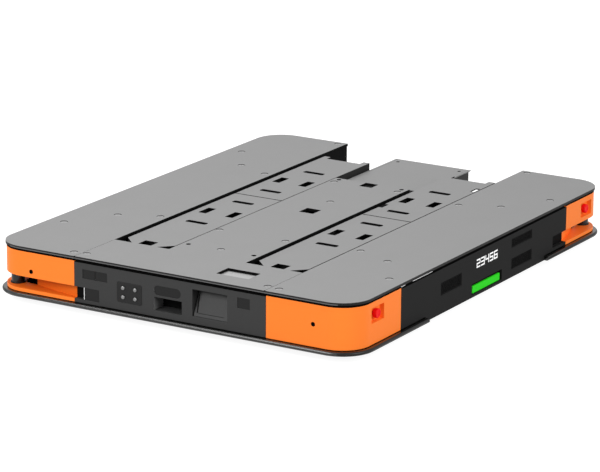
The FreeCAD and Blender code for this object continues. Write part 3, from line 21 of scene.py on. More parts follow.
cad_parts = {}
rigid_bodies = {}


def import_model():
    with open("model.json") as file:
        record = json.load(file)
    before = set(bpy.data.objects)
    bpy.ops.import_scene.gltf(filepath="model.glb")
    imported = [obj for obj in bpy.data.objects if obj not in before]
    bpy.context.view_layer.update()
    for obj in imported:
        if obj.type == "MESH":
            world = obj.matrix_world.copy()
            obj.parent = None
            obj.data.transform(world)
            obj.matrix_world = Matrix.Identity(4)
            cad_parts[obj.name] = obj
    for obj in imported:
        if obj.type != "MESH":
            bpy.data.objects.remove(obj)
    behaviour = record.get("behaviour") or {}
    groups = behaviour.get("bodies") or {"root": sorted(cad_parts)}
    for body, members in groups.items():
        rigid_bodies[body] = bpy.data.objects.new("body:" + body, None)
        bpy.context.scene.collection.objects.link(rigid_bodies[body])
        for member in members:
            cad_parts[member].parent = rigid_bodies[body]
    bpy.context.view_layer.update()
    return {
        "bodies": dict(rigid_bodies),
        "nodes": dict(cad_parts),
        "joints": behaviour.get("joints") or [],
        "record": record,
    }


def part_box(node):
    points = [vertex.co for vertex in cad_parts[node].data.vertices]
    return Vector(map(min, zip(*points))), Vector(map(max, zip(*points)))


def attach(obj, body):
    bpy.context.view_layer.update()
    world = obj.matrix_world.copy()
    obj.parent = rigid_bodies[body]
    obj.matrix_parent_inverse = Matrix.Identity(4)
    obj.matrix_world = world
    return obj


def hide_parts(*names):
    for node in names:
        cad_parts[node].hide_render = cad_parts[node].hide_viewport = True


LOG = logging.getLogger("robot")
MM = 0.001
CHASSIS = "chassis"
# A face looks along a direction when its normal has at least this share of it
FACING = 0.9
# A face is upright when its normal rises by less than this
STEEP = 0.7
# Corners closer than this are merged, and faces that meet at less than this angle become one
MERGE_MM = 0.005
FLAT_DEGREES = 0.6
# Only edges sharper than this are bevelled
BEVEL_DEGREES = 30.0
# Colour sockets of a Mix node, by number because its other kinds share their names
MIX_FIRST, MIX_SECOND, MIX_RESULT = 6, 7, 2

Colour = tuple[float, float, float, float]
Test = Callable[[Vector, Vector], bool]

FRAME: dict = {}


class Axis(Enum):
    """Direction in which a round piece stands."""

    X = "x"
    Y = "y"
    Z = "z"

    @property
    def vector(self) -> Vector:
        """Unit vector along the axis."""
        return Vector([float(self.value == name) for name in "xyz"])


class Side(Enum):
    """Side of the robot, with the sign of its X."""

    LEFT = -1
    RIGHT = 1

    @property
    def word(self) -> str:
        """The side's name in node names."""
        return self.name.lower()


class End(Enum):
    """End of the robot, with the sign of its Y."""

    FRONT = -1
    REAR = 1

    @property
    def word(self) -> str:
        """The end's name in node names."""
        return self.name.lower()


def body_corners() -> Iterator[tuple[Side, str]]:
    """Go round the four corners of the body.

    Yields:
        The corner's side and the end of its node names.
    """
    for end in End:
        for side in Side:
            yield side, end.word + "_" + side.word


# Finishes


def linear(hex_colour: str) -> Colour:
    """Turn an sRGB hex colour into linear values.

    Args:
        hex_colour: Six hex digits.

    Returns:
        Linear red, green, blue and an alpha of one.
    """
    parts = [int(hex_colour[place:place + 2], 16) / 255 for place in (0, 2, 4)]
    curve = [part / 12.92 if part <= 0.04045 else ((part + 0.055) / 1.055) ** 2.4 for part in parts]
    return curve[0], curve[1], curve[2], 1.0


def add_node(
    tree: bpy.types.NodeTree, kind: str, settings: dict | None = None, links: dict | None = None
) -> bpy.types.Node:
    """Add a shader node with its settings and incoming links.

    Args:
        tree: Node tree that receives the node.
        kind: Type name of the node.
        settings: Values by attribute name, or by the name or number of an input socket.
        links: Output sockets by the name or number of the input socket they feed.

    Returns:
        The new node.
    """
    node = tree.nodes.new(kind)
    for name, value in (settings or {}).items():
        if isinstance(name, str) and hasattr(node, name):
            setattr(node, name, value)
        else:
            node.inputs[name].default_value = value
    for name, socket in (links or {}).items():
        tree.links.new(socket, node.inputs[name])
    return node


def blank_material(name: str) -> tuple[bpy.types.Material, bpy.types.NodeTree]:
    """Make a material with an empty node tree.

    Args:
        name: Name of the finish.

    Returns:
        The material and its tree.
    """
    material = bpy.data.materials.new(name)
    material.use_nodes = True
    material.node_tree.nodes.clear()
    return material, material.node_tree


@dataclass(frozen=True)
class Finish:
    """A real finish, with its grain sizes in millimetres.

    The colour wanders by `mottle` between patches of `patch_mm`, and `grain_mm` with `relief_mm`
    gives the fine relief that breaks up its highlights. The real grain is too fine for the
    picture, so it is drawn as coarse as it has to be to show.
    """

    name: str
    colour: str
    roughness: float
    metallic: float = 0.0
    specular: float = 0.5
    grain_mm: float = 1.2
    relief_mm: float = 0.02
    patch_mm: float = 90.0
    mottle: float = 0.06
    stretch: tuple[float, float, float] = (1.0, 1.0, 1.0)
    glow: float = 0.0
    rough_spread: float = 0.05
    bump: float = 0.35
    patch_detail: float = 3.0
    grain_detail: float = 2.0

    def tint(self, change: float) -> Colour:
        """Return the colour made lighter, or darker, by a share."""
        red, green, blue = (min(value * (1 + change), 1.0) for value in linear(self.colour)[:3])
        return red, green, blue, 1.0

    def build(self) -> bpy.types.Material:
        """Make the material of this finish.

        Returns:
            The finished material.
        """
        material, tree = blank_material(self.name)
        place = add_node(tree, "ShaderNodeTexCoord")
        spot = add_node(tree, "ShaderNodeMapping", {"Scale": self.stretch},
                        {"Vector": place.outputs["Object"]})
        patches = add_node(tree, "ShaderNodeTexNoise",
                           {"Scale": 1 / (self.patch_mm * MM), "Detail": self.patch_detail},
                           {"Vector": spot.outputs["Vector"]})
        grain = add_node(tree, "ShaderNodeTexNoise",
                         {"Scale": 1 / (self.grain_mm * MM), "Detail": self.grain_detail},
                         {"Vector": spot.outputs["Vector"]})
        colour = add_node(tree, "ShaderNodeMix",
                          {"data_type": "RGBA", MIX_FIRST: self.tint(-self.mottle),
                           MIX_SECOND: self.tint(self.mottle)},
                          {"Factor": patches.outputs["Fac"]})
        rough = add_node(tree, "ShaderNodeMapRange",
                         {"To Min": self.roughness - self.rough_spread,
                          "To Max": self.roughness + self.rough_spread},
                         {"Value": grain.outputs["Fac"]})
        relief = add_node(tree, "ShaderNodeBump",
                          {"Strength": self.bump, "Distance": self.relief_mm * MM},
                          {"Height": grain.outputs["Fac"]})
        settings = {"Metallic": self.metallic}
        if self.metallic < 1.0:
            settings["Specular IOR Level"] = self.specular
        if self.glow:
            settings["Emission Color"] = linear(self.colour)
            settings["Emission Strength"] = self.glow
        shader = add_node(tree, "ShaderNodeBsdfPrincipled", settings,
                          {"Base Color": colour.outputs[MIX_RESULT],
                           "Roughness": rough.outputs["Result"],
                           "Normal": relief.outputs["Normal"]})
        add_node(tree, "ShaderNodeOutputMaterial", None, {"Surface": shader.outputs["BSDF"]})
        return material


# Powder coat is sprayed and baked: an even satin skin with a faint orange peel
DECK_COAT = Finish("deck_grey_powder_coat", "707070", 0.52, specular=0.3, grain_mm=1.6,
                   relief_mm=0.03, mottle=0.03)
ORANGE_COAT = Finish("orange_powder_coat", "ff8230", 0.45, specular=0.12, grain_mm=1.4,
                     relief_mm=0.03, mottle=0.02)
# The frame plate's front faces are a lighter grey: a painted highlight where the rim catches the light
RIM_HIGHLIGHT_COAT = Finish("rim_grey_powder_coat", "585858", 0.5, specular=0.25, grain_mm=1.6, mottle=0.05)
FRAME_COAT = Finish("frame_dark_powder_coat", "161616", 0.5, specular=0.15, grain_mm=1.6, mottle=0.05)
# On upright faces and cut edges the grey is painted darker: painted shade where less light falls than
# on top
SHADED_EDGE_COAT = Finish("cut_edge_dark_coat", "1e1e1e", 0.5, specular=0.15, grain_mm=1.6, mottle=0.05)
# Deep in the slots the orange is painted darker as painted shade
SHADED_ORANGE_COAT = Finish("thin_orange_powder_coat", "d86418", 0.55, specular=0.1, grain_mm=1.4,
                          mottle=0.03)
# Black powder coat: satin on the front and matt on the sides, where a darker copy is painted shade for
# the side that gets less light
FRONT_COAT = Finish("satin_black_powder_coat", "303030", 0.55, specular=0.2, relief_mm=0.03,
                    mottle=0.04)
SHADED_SIDE_COAT = Finish("matt_black_powder_coat", "1f1f1f", 0.65, specular=0.05, relief_mm=0.03,
                   mottle=0.04)
# Near-black inner coat: the pan and troughs are coated in it, and it is painted shade in gaps, holes,
# slots and recesses
BLACK_AND_SHADE_COAT = Finish("matt_black_inner_coat", "080808", 0.8, specular=0.05, grain_mm=2.0, mottle=0.1)
# The hatch's light coat is smooth and catches what light falls into its recess; the port's lit wall is
# a lighter grey as painted light
HATCH_COAT = Finish("light_grey_coat", "8e8e8e", 0.5, grain_mm=1.6)
LIT_PORT_WALL_COAT = Finish("grey_port_liner", "6c6c6c", 0.6, specular=0.2, mottle=0.04)
# Zinc flake is dipped and baked: dull silver grey with fine specks
SCREW_COAT = Finish("zinc_flake_screw_coat", "808080", 0.4, grain_mm=0.8, relief_mm=0.01)
# Extruded rubber keeps flow lines and shines along its nose; on its flanks a darker, duller copy is
# painted shade
BUMPER_RUBBER = Finish("extruded_bumper_rubber", "0e0e0d", 0.22, specular=0.6, grain_mm=2.5,
                       mottle=0.15)
SHADED_FLANK_RUBBER = Finish("dull_bumper_rubber", "0c0c0b", 0.4, specular=0.25, grain_mm=2.5, mottle=0.15)
# Cast polyurethane is close to rubber, with a softer sheen
TREAD_RUBBER = Finish("polyurethane_tread", "1b1b1b", 0.6, grain_mm=0.8, relief_mm=0.05, mottle=0.12)
CASTOR_RUBBER = Finish("grey_castor_polyurethane", "3c3c3c", 0.45, grain_mm=0.8, mottle=0.1)
# Smoked acrylic is dark through its body and shows clean soft highlights
SMOKED_ACRYLIC = Finish("smoked_acrylic", "101010", 0.3, specular=0.2, grain_mm=4.0,
                        relief_mm=0.002, mottle=0.02)
# Coated glass hides what lies behind it and mirrors the room faintly
CAMERA_GLASS = Finish("dark_camera_glass", "1e1e1e", 0.4, specular=0.2, grain_mm=5.0,
                      relief_mm=0.002, mottle=0.02)
SCANNER_GLASS = Finish("glossy_scanner_window", "141618", 0.2, specular=0.35, grain_mm=4.0,
                       relief_mm=0.002, mottle=0.02)
# Plastic from a textured mould scatters its highlights, and from a smooth mould it looks even
MOULDED_BLACK = Finish("moulded_black_plastic", "161616", 0.5, specular=0.2, grain_mm=0.7,
                       relief_mm=0.04, mottle=0.08)
GRILLE_BLACK = Finish("matt_black_grille", "1b1b1b", 0.8, specular=0.05, grain_mm=0.7, mottle=0.08)
STOP_RED = Finish("moulded_red_plastic", "f01414", 0.5, specular=0.1, grain_mm=3.0,
                  relief_mm=0.004, mottle=0.03)
# A milky diffuser spreads its lamp evenly
LIT_GREEN = Finish("lit_green_diffuser", "26cc18", 0.5, specular=0.1, grain_mm=2.0,
                   relief_mm=0.002, mottle=0.02, glow=0.12)
# Screen print is flat opaque ink, with a faint glow as painted light
GLOWING_PRINT_WHITE = Finish("white_screen_print", "f2f2f2", 0.6, grain_mm=0.8, relief_mm=0.004,
                     mottle=0.02, glow=0.25)
# Plated steel is silver with cloudy patches, bright on the castors and a darker grey on the contact
# studs as painted shade
ZINC_PLATE = Finish("zinc_plated_steel", "b4b6b8", 0.35, metallic=1.0, grain_mm=1.0,
                    relief_mm=0.01, mottle=0.12)
# Bright plating on the clips and strip, with a glow as painted highlight
GLOWING_CLIP_PLATE = Finish("bright_plated_clip", "f0f0f0", 0.4, metallic=0.2, grain_mm=1.0,
                    relief_mm=0.01, mottle=0.05, glow=0.25)
SHADED_STUD_PLATE = Finish("worn_contact_plating", "7a7a7a", 0.35, metallic=1.0, grain_mm=2.0,
                    relief_mm=0.004, mottle=0.1)
# Turned steel carries fine tool lines, and blasted castings are an even dull silver
TURNED_STEEL = Finish("turned_steel", "a8a8aa", 0.28, metallic=1.0, grain_mm=0.6, mottle=0.1,
                      stretch=(1.0, 0.08, 1.0))
CAST_ALLOY = Finish("bead_blasted_cast_alloy", "8f9193", 0.5, metallic=1.0, grain_mm=0.7,
                    relief_mm=0.05, mottle=0.1)


class Palette:
    """Builds each finish once and hands out its material."""

    def __init__(self) -> None:
        """Start with no material made."""
        self.made: dict[str, bpy.types.Material] = {}

    def __call__(self, finish: Finish) -> bpy.types.Material:
        """Return the material of a finish, making it on first use.

        Args:
            finish: The finish that is wanted.

        Returns:
            Its material.
        """
        if finish.name not in self.made:
            self.made[finish.name] = finish.build()
        return self.made[finish.name]


PALETTE = Palette()


# Bench: small modelling steps, each done with Blender's own operators


def pick(*objects: bpy.types.Object) -> None:
    """Select some objects only, and make the first one active.

    Args:
        objects: Objects to select.
    """
    if bpy.context.mode != "OBJECT":
        bpy.ops.object.mode_set(mode="OBJECT")
    bpy.ops.object.select_all(action="DESELECT")
    for item in objects:
        item.select_set(True)
    bpy.context.view_layer.objects.active = objects[0]


@contextmanager
def editing(item: bpy.types.Object, test: Test | None = None) -> Iterator[None]:
    """Hold an object in edit mode with the chosen faces selected.

    Args:
        item: Object to edit.
        test: Chooses faces by their centre and normal. With none, all faces are selected.

    Yields:
        Nothing; edit operators are run inside.
    """
    pick(item)
    bpy.ops.object.mode_set(mode="EDIT")
    bpy.ops.mesh.select_mode(type="FACE")
    bpy.ops.mesh.select_all(action="SELECT" if test is None else "DESELECT")
    if test is not None:
        mesh = bmesh.from_edit_mesh(item.data)
        for face in mesh.faces:
            face.select_set(test(face.calc_center_median(), face.normal))
        bmesh.update_edit_mesh(item.data)
    yield
    bpy.ops.object.mode_set(mode="OBJECT")


def settle(item: bpy.types.Object, name: str) -> bpy.types.Object:
    """Move an object's place, turn and scale into its mesh and name it.

    Args:
        item: Object that was just added.
        name: Its new name.

    Returns:
        The same object, at the origin.
    """
    pick(item)
    bpy.ops.object.transform_apply(location=True, rotation=True, scale=True)
    item.name = name
    item.data.name = name
    return item


def block(name: str, low: Vector, high: Vector) -> bpy.types.Object:
    """Add a box between two corners, in metres.

    Args:
        name: Name of the new piece.
        low: Lowest corner.
        high: Highest corner.

    Returns:
        The new object.
    """
    low, high = Vector(low), Vector(high)
    bpy.ops.mesh.primitive_cube_add(size=1.0, location=(low + high) / 2, scale=high - low)
    return settle(bpy.context.object, name)


def barrel(
    name: str, radius: float, depth: float, centre: Vector, axis: Axis = Axis.Z, sides: int = 48
) -> bpy.types.Object:
    """Add a cylinder, in metres.

    Args:
        name: Name of the new piece.
        radius: Its radius.
        depth: Its length along the axis.
        centre: Its middle.
        axis: The direction it stands in.
        sides: Number of side faces.

    Returns:
        The new object.
    """
    turn = axis.vector.to_track_quat("Z", "Y").to_euler()
    bpy.ops.mesh.primitive_cylinder_add(vertices=sides, radius=radius, depth=depth,
                                        location=centre, rotation=turn)
    return settle(bpy.context.object, name)


def round_edges(item: bpy.types.Object, width: float, segments: int = 2) -> None:
    """Bevel the sharp edges of an object.

    Args:
        item: Object to bevel.
        width: Bevel width in metres.
        segments: Number of steps in the bevel.
    """
    pick(item)
    bevel = item.modifiers.new("edges", "BEVEL")
    bevel.width = width
    bevel.segments = segments
    bevel.limit_method = "ANGLE"
    bevel.angle_limit = math.radians(BEVEL_DEGREES)
    bevel.use_clamp_overlap = True
    bpy.ops.object.modifier_apply(modifier=bevel.name)


def smooth(item: bpy.types.Object, angle: float = 35.0) -> None:
    """Shade an object smooth between faces that meet at less than an angle, in degrees."""
    pick(item)
    bpy.ops.object.shade_smooth_by_angle(angle=math.radians(angle))


def join(name: str, items: list[bpy.types.Object]) -> bpy.types.Object:
    """Join several objects into the first.

    Args:
        name: Name of the joined piece.
        items: Objects to join.

    Returns:
        The joined object.
    """
    pick(*items)
    if len(items) > 1:
        bpy.ops.object.join()
    items[0].name = name
    items[0].data.name = name
    return items[0]


def cut_out(item: bpy.types.Object, cutter: bpy.types.Object) -> None:
    """Subtract a cutter from an object and delete the cutter.

    Args:
        item: Object that loses material.
        cutter: Shape that is taken away.
    """
    pick(item)
    boolean = item.modifiers.new("cut", "BOOLEAN")
    boolean.operation = "DIFFERENCE"
    boolean.solver = "EXACT"
    boolean.object = cutter
    bpy.ops.object.modifier_apply(modifier=boolean.name)
    bpy.data.objects.remove(cutter)


def copy_to(item: bpy.types.Object, name: str, place: Matrix) -> bpy.types.Object:
    """Copy an object with its own mesh, put through a transform.

    Args:
        item: Object to copy.
        name: Name of the copy.
        place: Transform of the copy, in the robot's frame.

    Returns:
        The copy.
    """
    pick(item)
    bpy.ops.object.duplicate(linked=False)
    twin = bpy.context.object
    twin.data.transform(place)
    if place.determinant() < 0:
        with editing(twin):
            bpy.ops.mesh.normals_make_consistent(inside=False)
    twin.name = name
    twin.data.name = name
    return twin


def coat(item: bpy.types.Object, finish: Finish, test: Test | None = None) -> None:
    """Give an object a finish, on all faces or on chosen ones.

    Args:
        item: Object to dress.
        finish: Its finish.
        test: Chooses faces by centre and normal. With none, the finish covers the whole object.
    """
    if test is None:
        item.data.materials.clear()
        item.data.materials.append(PALETTE(finish))
        return
    item.data.materials.append(PALETTE(finish))
    slot = len(item.data.materials) - 1
    for face in item.data.polygons:
        if test(face.center, face.normal):
            face.material_index = slot


def fit(item: bpy.types.Object, body: str, slot: str, *nodes: str) -> None:
    """Put a finished piece on its body.

    Args:
        item: The finished piece.
        body: Body it moves with.
        slot: Name of a material slot; not used.
        nodes: Nodes that it stands for.
    """
    if nodes:
        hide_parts(*nodes)
    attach(item, body)
    LOG.info("%s: %d faces on %s", item.name, len(item.data.polygons), body)


def even_normals(item: bpy.types.Object) -> None:
    """Weight normals by face area, so that flat faces look flat beside soft edges.

    Args:
        item: Object to even out.
    """
    pick(item)
    weights = item.modifiers.new("normals", "WEIGHTED_NORMAL")
    weights.keep_sharp = True
    bpy.ops.object.modifier_apply(modifier=weights.name)


def softened(node: str, name: str, width_mm: float = 0.45, segments: int = 2) -> bpy.types.Object:
    """Copy a construction node, merge its triangles into faces and soften its edges.

    Args:
        node: Node to copy.
        name: Name of the piece.
        width_mm: Width of the softened edge, or zero to leave the edges sharp.
        segments: Steps in the softened edge.

    Returns:
        The piece, without finish.
    """
    source = FRAME["nodes"][node]
    piece = bpy.data.objects.new(name, source.data.copy())
    bpy.context.scene.collection.objects.link(piece)
    piece.data.name = name
    piece.data.materials.clear()
    with editing(piece):
        bpy.ops.mesh.remove_doubles(threshold=MERGE_MM * MM)
        bpy.ops.mesh.dissolve_limited(angle_limit=math.radians(FLAT_DEGREES))
    if width_mm:
        round_edges(piece, width_mm * MM, segments)
    smooth(piece)
    even_normals(piece)
    return piece


def dress(
    node: str, name: str, finish: Finish, body: str, slot: str, width_mm: float, segments: int = 2
) -> None:
    """Build the piece of a construction node that has one finish all over.

    Args:
        node: Node that the piece stands for.
        name: Name of the piece.
        finish: Its finish.
        body: Body it moves with.
        slot: Name of a material slot, handed on to fit.
        width_mm: Width of the softened edge.
        segments: Steps in the softened edge.
    """
    piece = softened(node, name, width_mm, segments)
    coat(piece, finish)
    fit(piece, body, slot, node)


def split_faces(item: bpy.types.Object, axis: Axis, place_mm: float) -> None:
    """Split an object's faces with a plane square to an axis, without changing its shape.

    Args:
        item: Object whose faces are split.
        axis: Direction that the plane is square to.
        place_mm: Where the plane crosses the axis, in millimetres.
    """
    with editing(item):
        bpy.ops.mesh.bisect(plane_co=axis.vector * place_mm * MM, plane_no=axis.vector)


@lru_cache(maxsize=None)
def corners_of(node: str) -> tuple[Vector, Vector]:
    """Return the low and high corner of a construction node, in metres."""
    low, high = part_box(node)
    return Vector(low), Vector(high)


def solid_boxes(node: str) -> list[tuple[Vector, Vector]]:
    """Find the corners of each separate solid of a construction node.

    Args:
        node: Node to look at.

    Returns:
        Low and high corner of every solid, in metres.
    """
    probe = softened(node, "probe", 0.0)
    with editing(probe):
        bpy.ops.mesh.separate(type="LOOSE")
    boxes = []
    for piece in list(bpy.context.selected_objects):
        corners = [vertex.co for vertex in piece.data.vertices]
        low = Vector([min(corner[number] for corner in corners) for number in range(3)])
        high = Vector([max(corner[number] for corner in corners) for number in range(3)])
        boxes.append((low, high))
        bpy.data.objects.remove(piece)
    return boxes


def upright(_centre: Vector, normal: Vector) -> bool:
    """Tell whether a face is steeper than it is level."""
    return abs(normal.z) < STEEP


# Sub-assemblies


@dataclass
class Deck:
    """Deck sheets, the frame plate under them and the cover behind them.

    The bay cover shows its coat behind `dark_y`. Before it the cover is black as painted shade, so
    that the rear hole of the centre sheet looks dark, as it does in the photograph.
    """

    edge_mm: float = 0.45
    corner_r: float = 75.0
    rim_mm: float = 10.0
    level: float = 0.97
    rim_line: float = 138.8
    dark_y: float = 372.0
    lip_lap: float = 0.6
    lip_reach: float = 6.5
    lip_t: float = 2.5
    lip_edge: float = 0.3
    sheets: tuple[str, ...] = ("left", "centre", "right")

    def inside_rim(self) -> Test:
        """Make a test for the edges of holes and channels, away from the deck's outline.

        Returns:
            The test.
        """
        corner = corners_of("top_frame")[1]
        half_x, half_y = corner.x - self.corner_r * MM, corner.y - self.corner_r * MM
        reach = (self.corner_r - self.rim_mm) * MM

        def inside(centre: Vector, normal: Vector) -> bool:
            """Tell whether a face is an edge inside the rim."""
            out = math.hypot(max(abs(centre.x) - half_x, 0.0), max(abs(centre.y) - half_y, 0.0))
            return abs(normal.z) < self.level and out < reach

        return inside

    def sheet(self, word: str, inside: Test) -> None:
        """Dress one sheet: grey on top, with painted shade darker on its cut edges and black in its
        holes.

        Args:
            word: Which sheet it is.
            inside: Chooses the edges of holes and channels.
        """
        node = "deck_" + word + "_plate"
        sheet = softened(node, word + "_deck_sheet", self.edge_mm)
        coat(sheet, DECK_COAT)
        coat(sheet, SHADED_EDGE_COAT, upright)
        coat(sheet, BLACK_AND_SHADE_COAT, inside)
        fit(sheet, CHASSIS, "deck_grey", node)

    def frame_plate(self, inside: Test) -> None:
        """Dress the frame plate, whose rim shows under the sheets, with a painted highlight on its
        front faces and painted shade in black below the rim line and round holes and channels.

        Args:
            inside: Chooses the edges of holes and channels.
        """
        rim = softened("top_frame", "deck_frame_plate", self.edge_mm)
        split_faces(rim, Axis.Z, self.rim_line)
        even_normals(rim)
        coat(rim, FRAME_COAT)
        coat(rim, RIM_HIGHLIGHT_COAT, lambda centre, normal: normal.y < -FACING)
        coat(rim, BLACK_AND_SHADE_COAT,
             lambda centre, normal: centre.z < self.rim_line * MM or inside(centre, normal))
        fit(rim, CHASSIS, "frame_grey", "top_frame")

    def bay_cover(self) -> None:
        """Dress the bay cover, black along its front strip as painted shade."""
        cover = softened("rear_cover", "electronics_bay_cover", self.edge_mm)
        split_faces(cover, Axis.Y, self.dark_y)
        even_normals(cover)
        coat(cover, DECK_COAT)
        coat(cover, SHADED_EDGE_COAT, upright)
        coat(cover, BLACK_AND_SHADE_COAT, lambda centre, normal: centre.y < self.dark_y * MM)
        fit(cover, CHASSIS, "panel_black", "rear_cover")

    def cover_lips(self) -> None:
        """Add the narrow lips along both sides of the bay cover's top."""
        high = corners_of("rear_cover")[1]
        for side in Side:
            inner, outer = (side.value * (high.x + reach * MM)
                            for reach in (-self.lip_lap, self.lip_reach))
            lip = block(side.word + "_bay_cover_lip",
                        Vector((min(inner, outer), self.dark_y * MM, high.z - self.lip_t * MM)),
                        Vector((max(inner, outer), high.y, high.z)))
            round_edges(lip, self.lip_edge * MM)
            coat(lip, DECK_COAT)
            fit(lip, CHASSIS, "panel_black")

    def build(self) -> None:
        """Dress the sheets and what lies under and behind them."""
        inside = self.inside_rim()
        for word in self.sheets:
            self.sheet(word, inside)
        self.frame_plate(inside)
        self.bay_cover()
        self.cover_lips()
        dress("hatch_plate", "hatch_floor", HATCH_COAT, CHASSIS, "frame_grey", self.edge_mm)


@dataclass
class DeckScrews:
    """Low screw heads in their counterbores, with their shanks."""

    head_t: float = 1.1
    head_sides: int = 40
    rim: float = 0.5
    rim_steps: int = 3
    socket_r: float = 2.4
    socket_depth: float = 0.6
    socket_sides: int = 6
    cutter_over: float = 1.2
    shank_r: float = 4.0
    shank_sides: int = 20

    def screw(self, low: Vector, high: Vector) -> bpy.types.Object:
        """Model one screw where the given box stands.

        Args:
            low: Low corner of the screw.
            high: High corner of the screw.

        Returns:
            The screw.
        """
        middle = (low + high) / 2
        head_t, depth = self.head_t * MM, self.socket_depth * MM
        length = high.z - low.z - head_t

        def on_axis(z: float) -> Vector:
            """Return the point on the screw's axis at a height."""
            return Vector((middle.x, middle.y, z))

        head = barrel("head", (high.x - low.x) / 2, head_t, on_axis(high.z - head_t / 2),
                      sides=self.head_sides)
        round_edges(head, self.rim * MM, self.rim_steps)
        socket = barrel("socket", self.socket_r * MM, depth * self.cutter_over,
                        on_axis(high.z - depth / 2), sides=self.socket_sides)
        cut_out(head, socket)
        shank = barrel("shank", self.shank_r * MM, length, on_axis(low.z + length / 2),
                       sides=self.shank_sides)
        return join("deck_screw", [head, shank])

    def build(self) -> None:
        """Copy one screw to every seat and join them."""
        boxes = solid_boxes("deck_screws")
        first = (boxes[0][0] + boxes[0][1]) / 2
        model = self.screw(*boxes[0])
        screws = [model]
        for low, high in boxes[1:]:
            screws.append(copy_to(model, "deck_screw", Matrix.Translation((low + high) / 2 - first)))
        whole = join("deck_screw_set", screws)
        smooth(whole)
        coat(whole, SCREW_COAT)
        fit(whole, CHASSIS, "bright_steel", "deck_screws")


@dataclass
class Skin:
    """Corner covers and panels round the body.

    Insets and heights choose the faces that lie deep in a slot, a hole or a gap, which take painted
    shade, and
    `slack` widens each choice a little, past what the soft edges move.
    """

    edge_mm: float = 0.5
    skin_mm: float = 6.0
    cover_fold: float = 133.0
    panel_fold: float = 130.5
    slack: float = 0.1
    face_slack: float = 1.0
    hole_x: float = 391.0
    hole_z: float = 85.5
    hole_reach: float = 6.2
    port_x: tuple[float, float] = (-40.5, 37.0)
    port_floor: float = 48.0
    camera_x: tuple[float, float] = (64.0, 164.0)
    slotted: tuple[str, ...] = ("front_left", "rear_right")
    shaded: str = "front_left"
    slot_z: tuple[float, float] = (40.5, 70.5)
    slot_neck: float = 12.0
    slot_taper: float = 97.0
    slot_back: float = 44.0
    wall_rise: float = 0.5

    def dark_fold(self, skin: bpy.types.Object, fold: float) -> None:
        """Split a skin at its top fold and paint the gap between it and the deck black as painted
        shade.

        Args:
            skin: Cover or panel.
            fold: Height of its top fold, in millimetres.
        """
        split_faces(skin, Axis.Z, fold + self.slack)
        even_normals(skin)
        coat(skin, BLACK_AND_SHADE_COAT, lambda centre, normal: centre.z > (fold - self.slack) * MM)

    def in_hole(self) -> Test:
        """Make a test for faces inside the round hole of a corner cover's end face.

        Returns:
            The test.
        """
        end_y = corners_of("cover_rear_left")[1].y - self.face_slack * MM

        def inside(centre: Vector, _normal: Vector) -> bool:
            """Tell whether a face lies in the hole."""
            out = math.hypot(abs(centre.x) - self.hole_x * MM, centre.z - self.hole_z * MM)
            return out < self.hole_reach * MM and abs(centre.y) < end_y

        return inside

    def in_slot(self, near: float) -> Test:
        """Make a test for the faces inside a scanner's slot, deeper than a given inset.

        Args:
            near: Smallest inset from both faces of the body, in millimetres.

        Returns:
            The test.
        """
        corner = corners_of("top_frame")[1] / MM
        low, high = self.slot_z

        def inside(centre: Vector, _normal: Vector) -> bool:
            """Tell whether a face lies in the slot."""
            inset = min(corner.x - abs(centre.x) / MM, corner.y - abs(centre.y) / MM)
            return inset > near and low - self.slack < centre.z / MM < high + self.slack

        return inside

    def behind_scanner(self) -> Test:
        """Make a test for the slot's back wall behind the scanner, before the slot tapers.

        Returns:
            The test.
        """
        corner = corners_of("top_frame")[1] / MM
        deep = self.in_slot(self.slot_back)

        def inside(centre: Vector, normal: Vector) -> bool:
            """Tell whether a face belongs to the back wall."""
            out = max(corner.x - abs(centre.x) / MM, corner.y - abs(centre.y) / MM)
            return abs(normal.z) < self.wall_rise and out < self.slot_taper and deep(centre, normal)

        return inside

    def port_wall(self, centre: Vector, normal: Vector) -> bool:
        """Tell whether a face is the left wall of the port."""
        return normal.x > FACING and abs(centre.x / MM - self.port_x[0]) < self.face_slack

    def behind_face(self) -> Test:
        """Make a test for faces of the front panel in the dark behind its skin.

        The port's floor and the camera's recess catch light and don't count.

        Returns:
            The test.
        """
        skin_y = corners_of("front_panel")[0].y + self.skin_mm * MM

        def behind(centre: Vector, normal: Vector) -> bool:
            """Tell whether a face lies in the dark behind the skin.

            Args:
                centre: The face's centre.
                normal: The face's normal.

            Returns:
                Whether it does.
            """
            x, z = centre.x / MM, centre.z / MM
            level = normal.z > FACING and abs(z - self.port_floor) < self.face_slack
            floor = level and self.port_x[0] < x < self.port_x[1]
            recess = self.camera_x[0] < x < self.camera_x[1]
            return centre.y > skin_y and not (floor or recess)

        return behind

    def corner_cover(self, tail: str) -> None:
        """Dress one corner cover: orange, with painted shade darker inside its slot and hole.

        Args:
            tail: End of its node's name.
        """
        cover = softened("cover_" + tail, tail + "_corner_cover", self.edge_mm)
        coat(cover, ORANGE_COAT)
        if tail == self.shaded:
            coat(cover, SHADED_ORANGE_COAT, self.in_slot(self.slot_neck))
        if tail in self.slotted:
            coat(cover, BLACK_AND_SHADE_COAT, self.behind_scanner())
        coat(cover, BLACK_AND_SHADE_COAT, self.in_hole())
        self.dark_fold(cover, self.cover_fold)
        fit(cover, CHASSIS, "body_orange", "cover_" + tail)

    def front_panel(self) -> None:
        """Dress the front panel, with its port and its camera's recess: black as painted shade behind
        its skin, and a lighter grey as painted light on the port's lit wall.
        """
        panel = softened("front_panel", "front_panel_skin", self.edge_mm)
        coat(panel, FRONT_COAT)
        # Painted shade: black on the faces behind the skin
        coat(panel, BLACK_AND_SHADE_COAT, self.behind_face())
        # Painted light: the port's lit wall is a lighter grey
        coat(panel, LIT_PORT_WALL_COAT, self.port_wall)
        self.dark_fold(panel, self.panel_fold)
        fit(panel, CHASSIS, "panel_black", "front_panel")

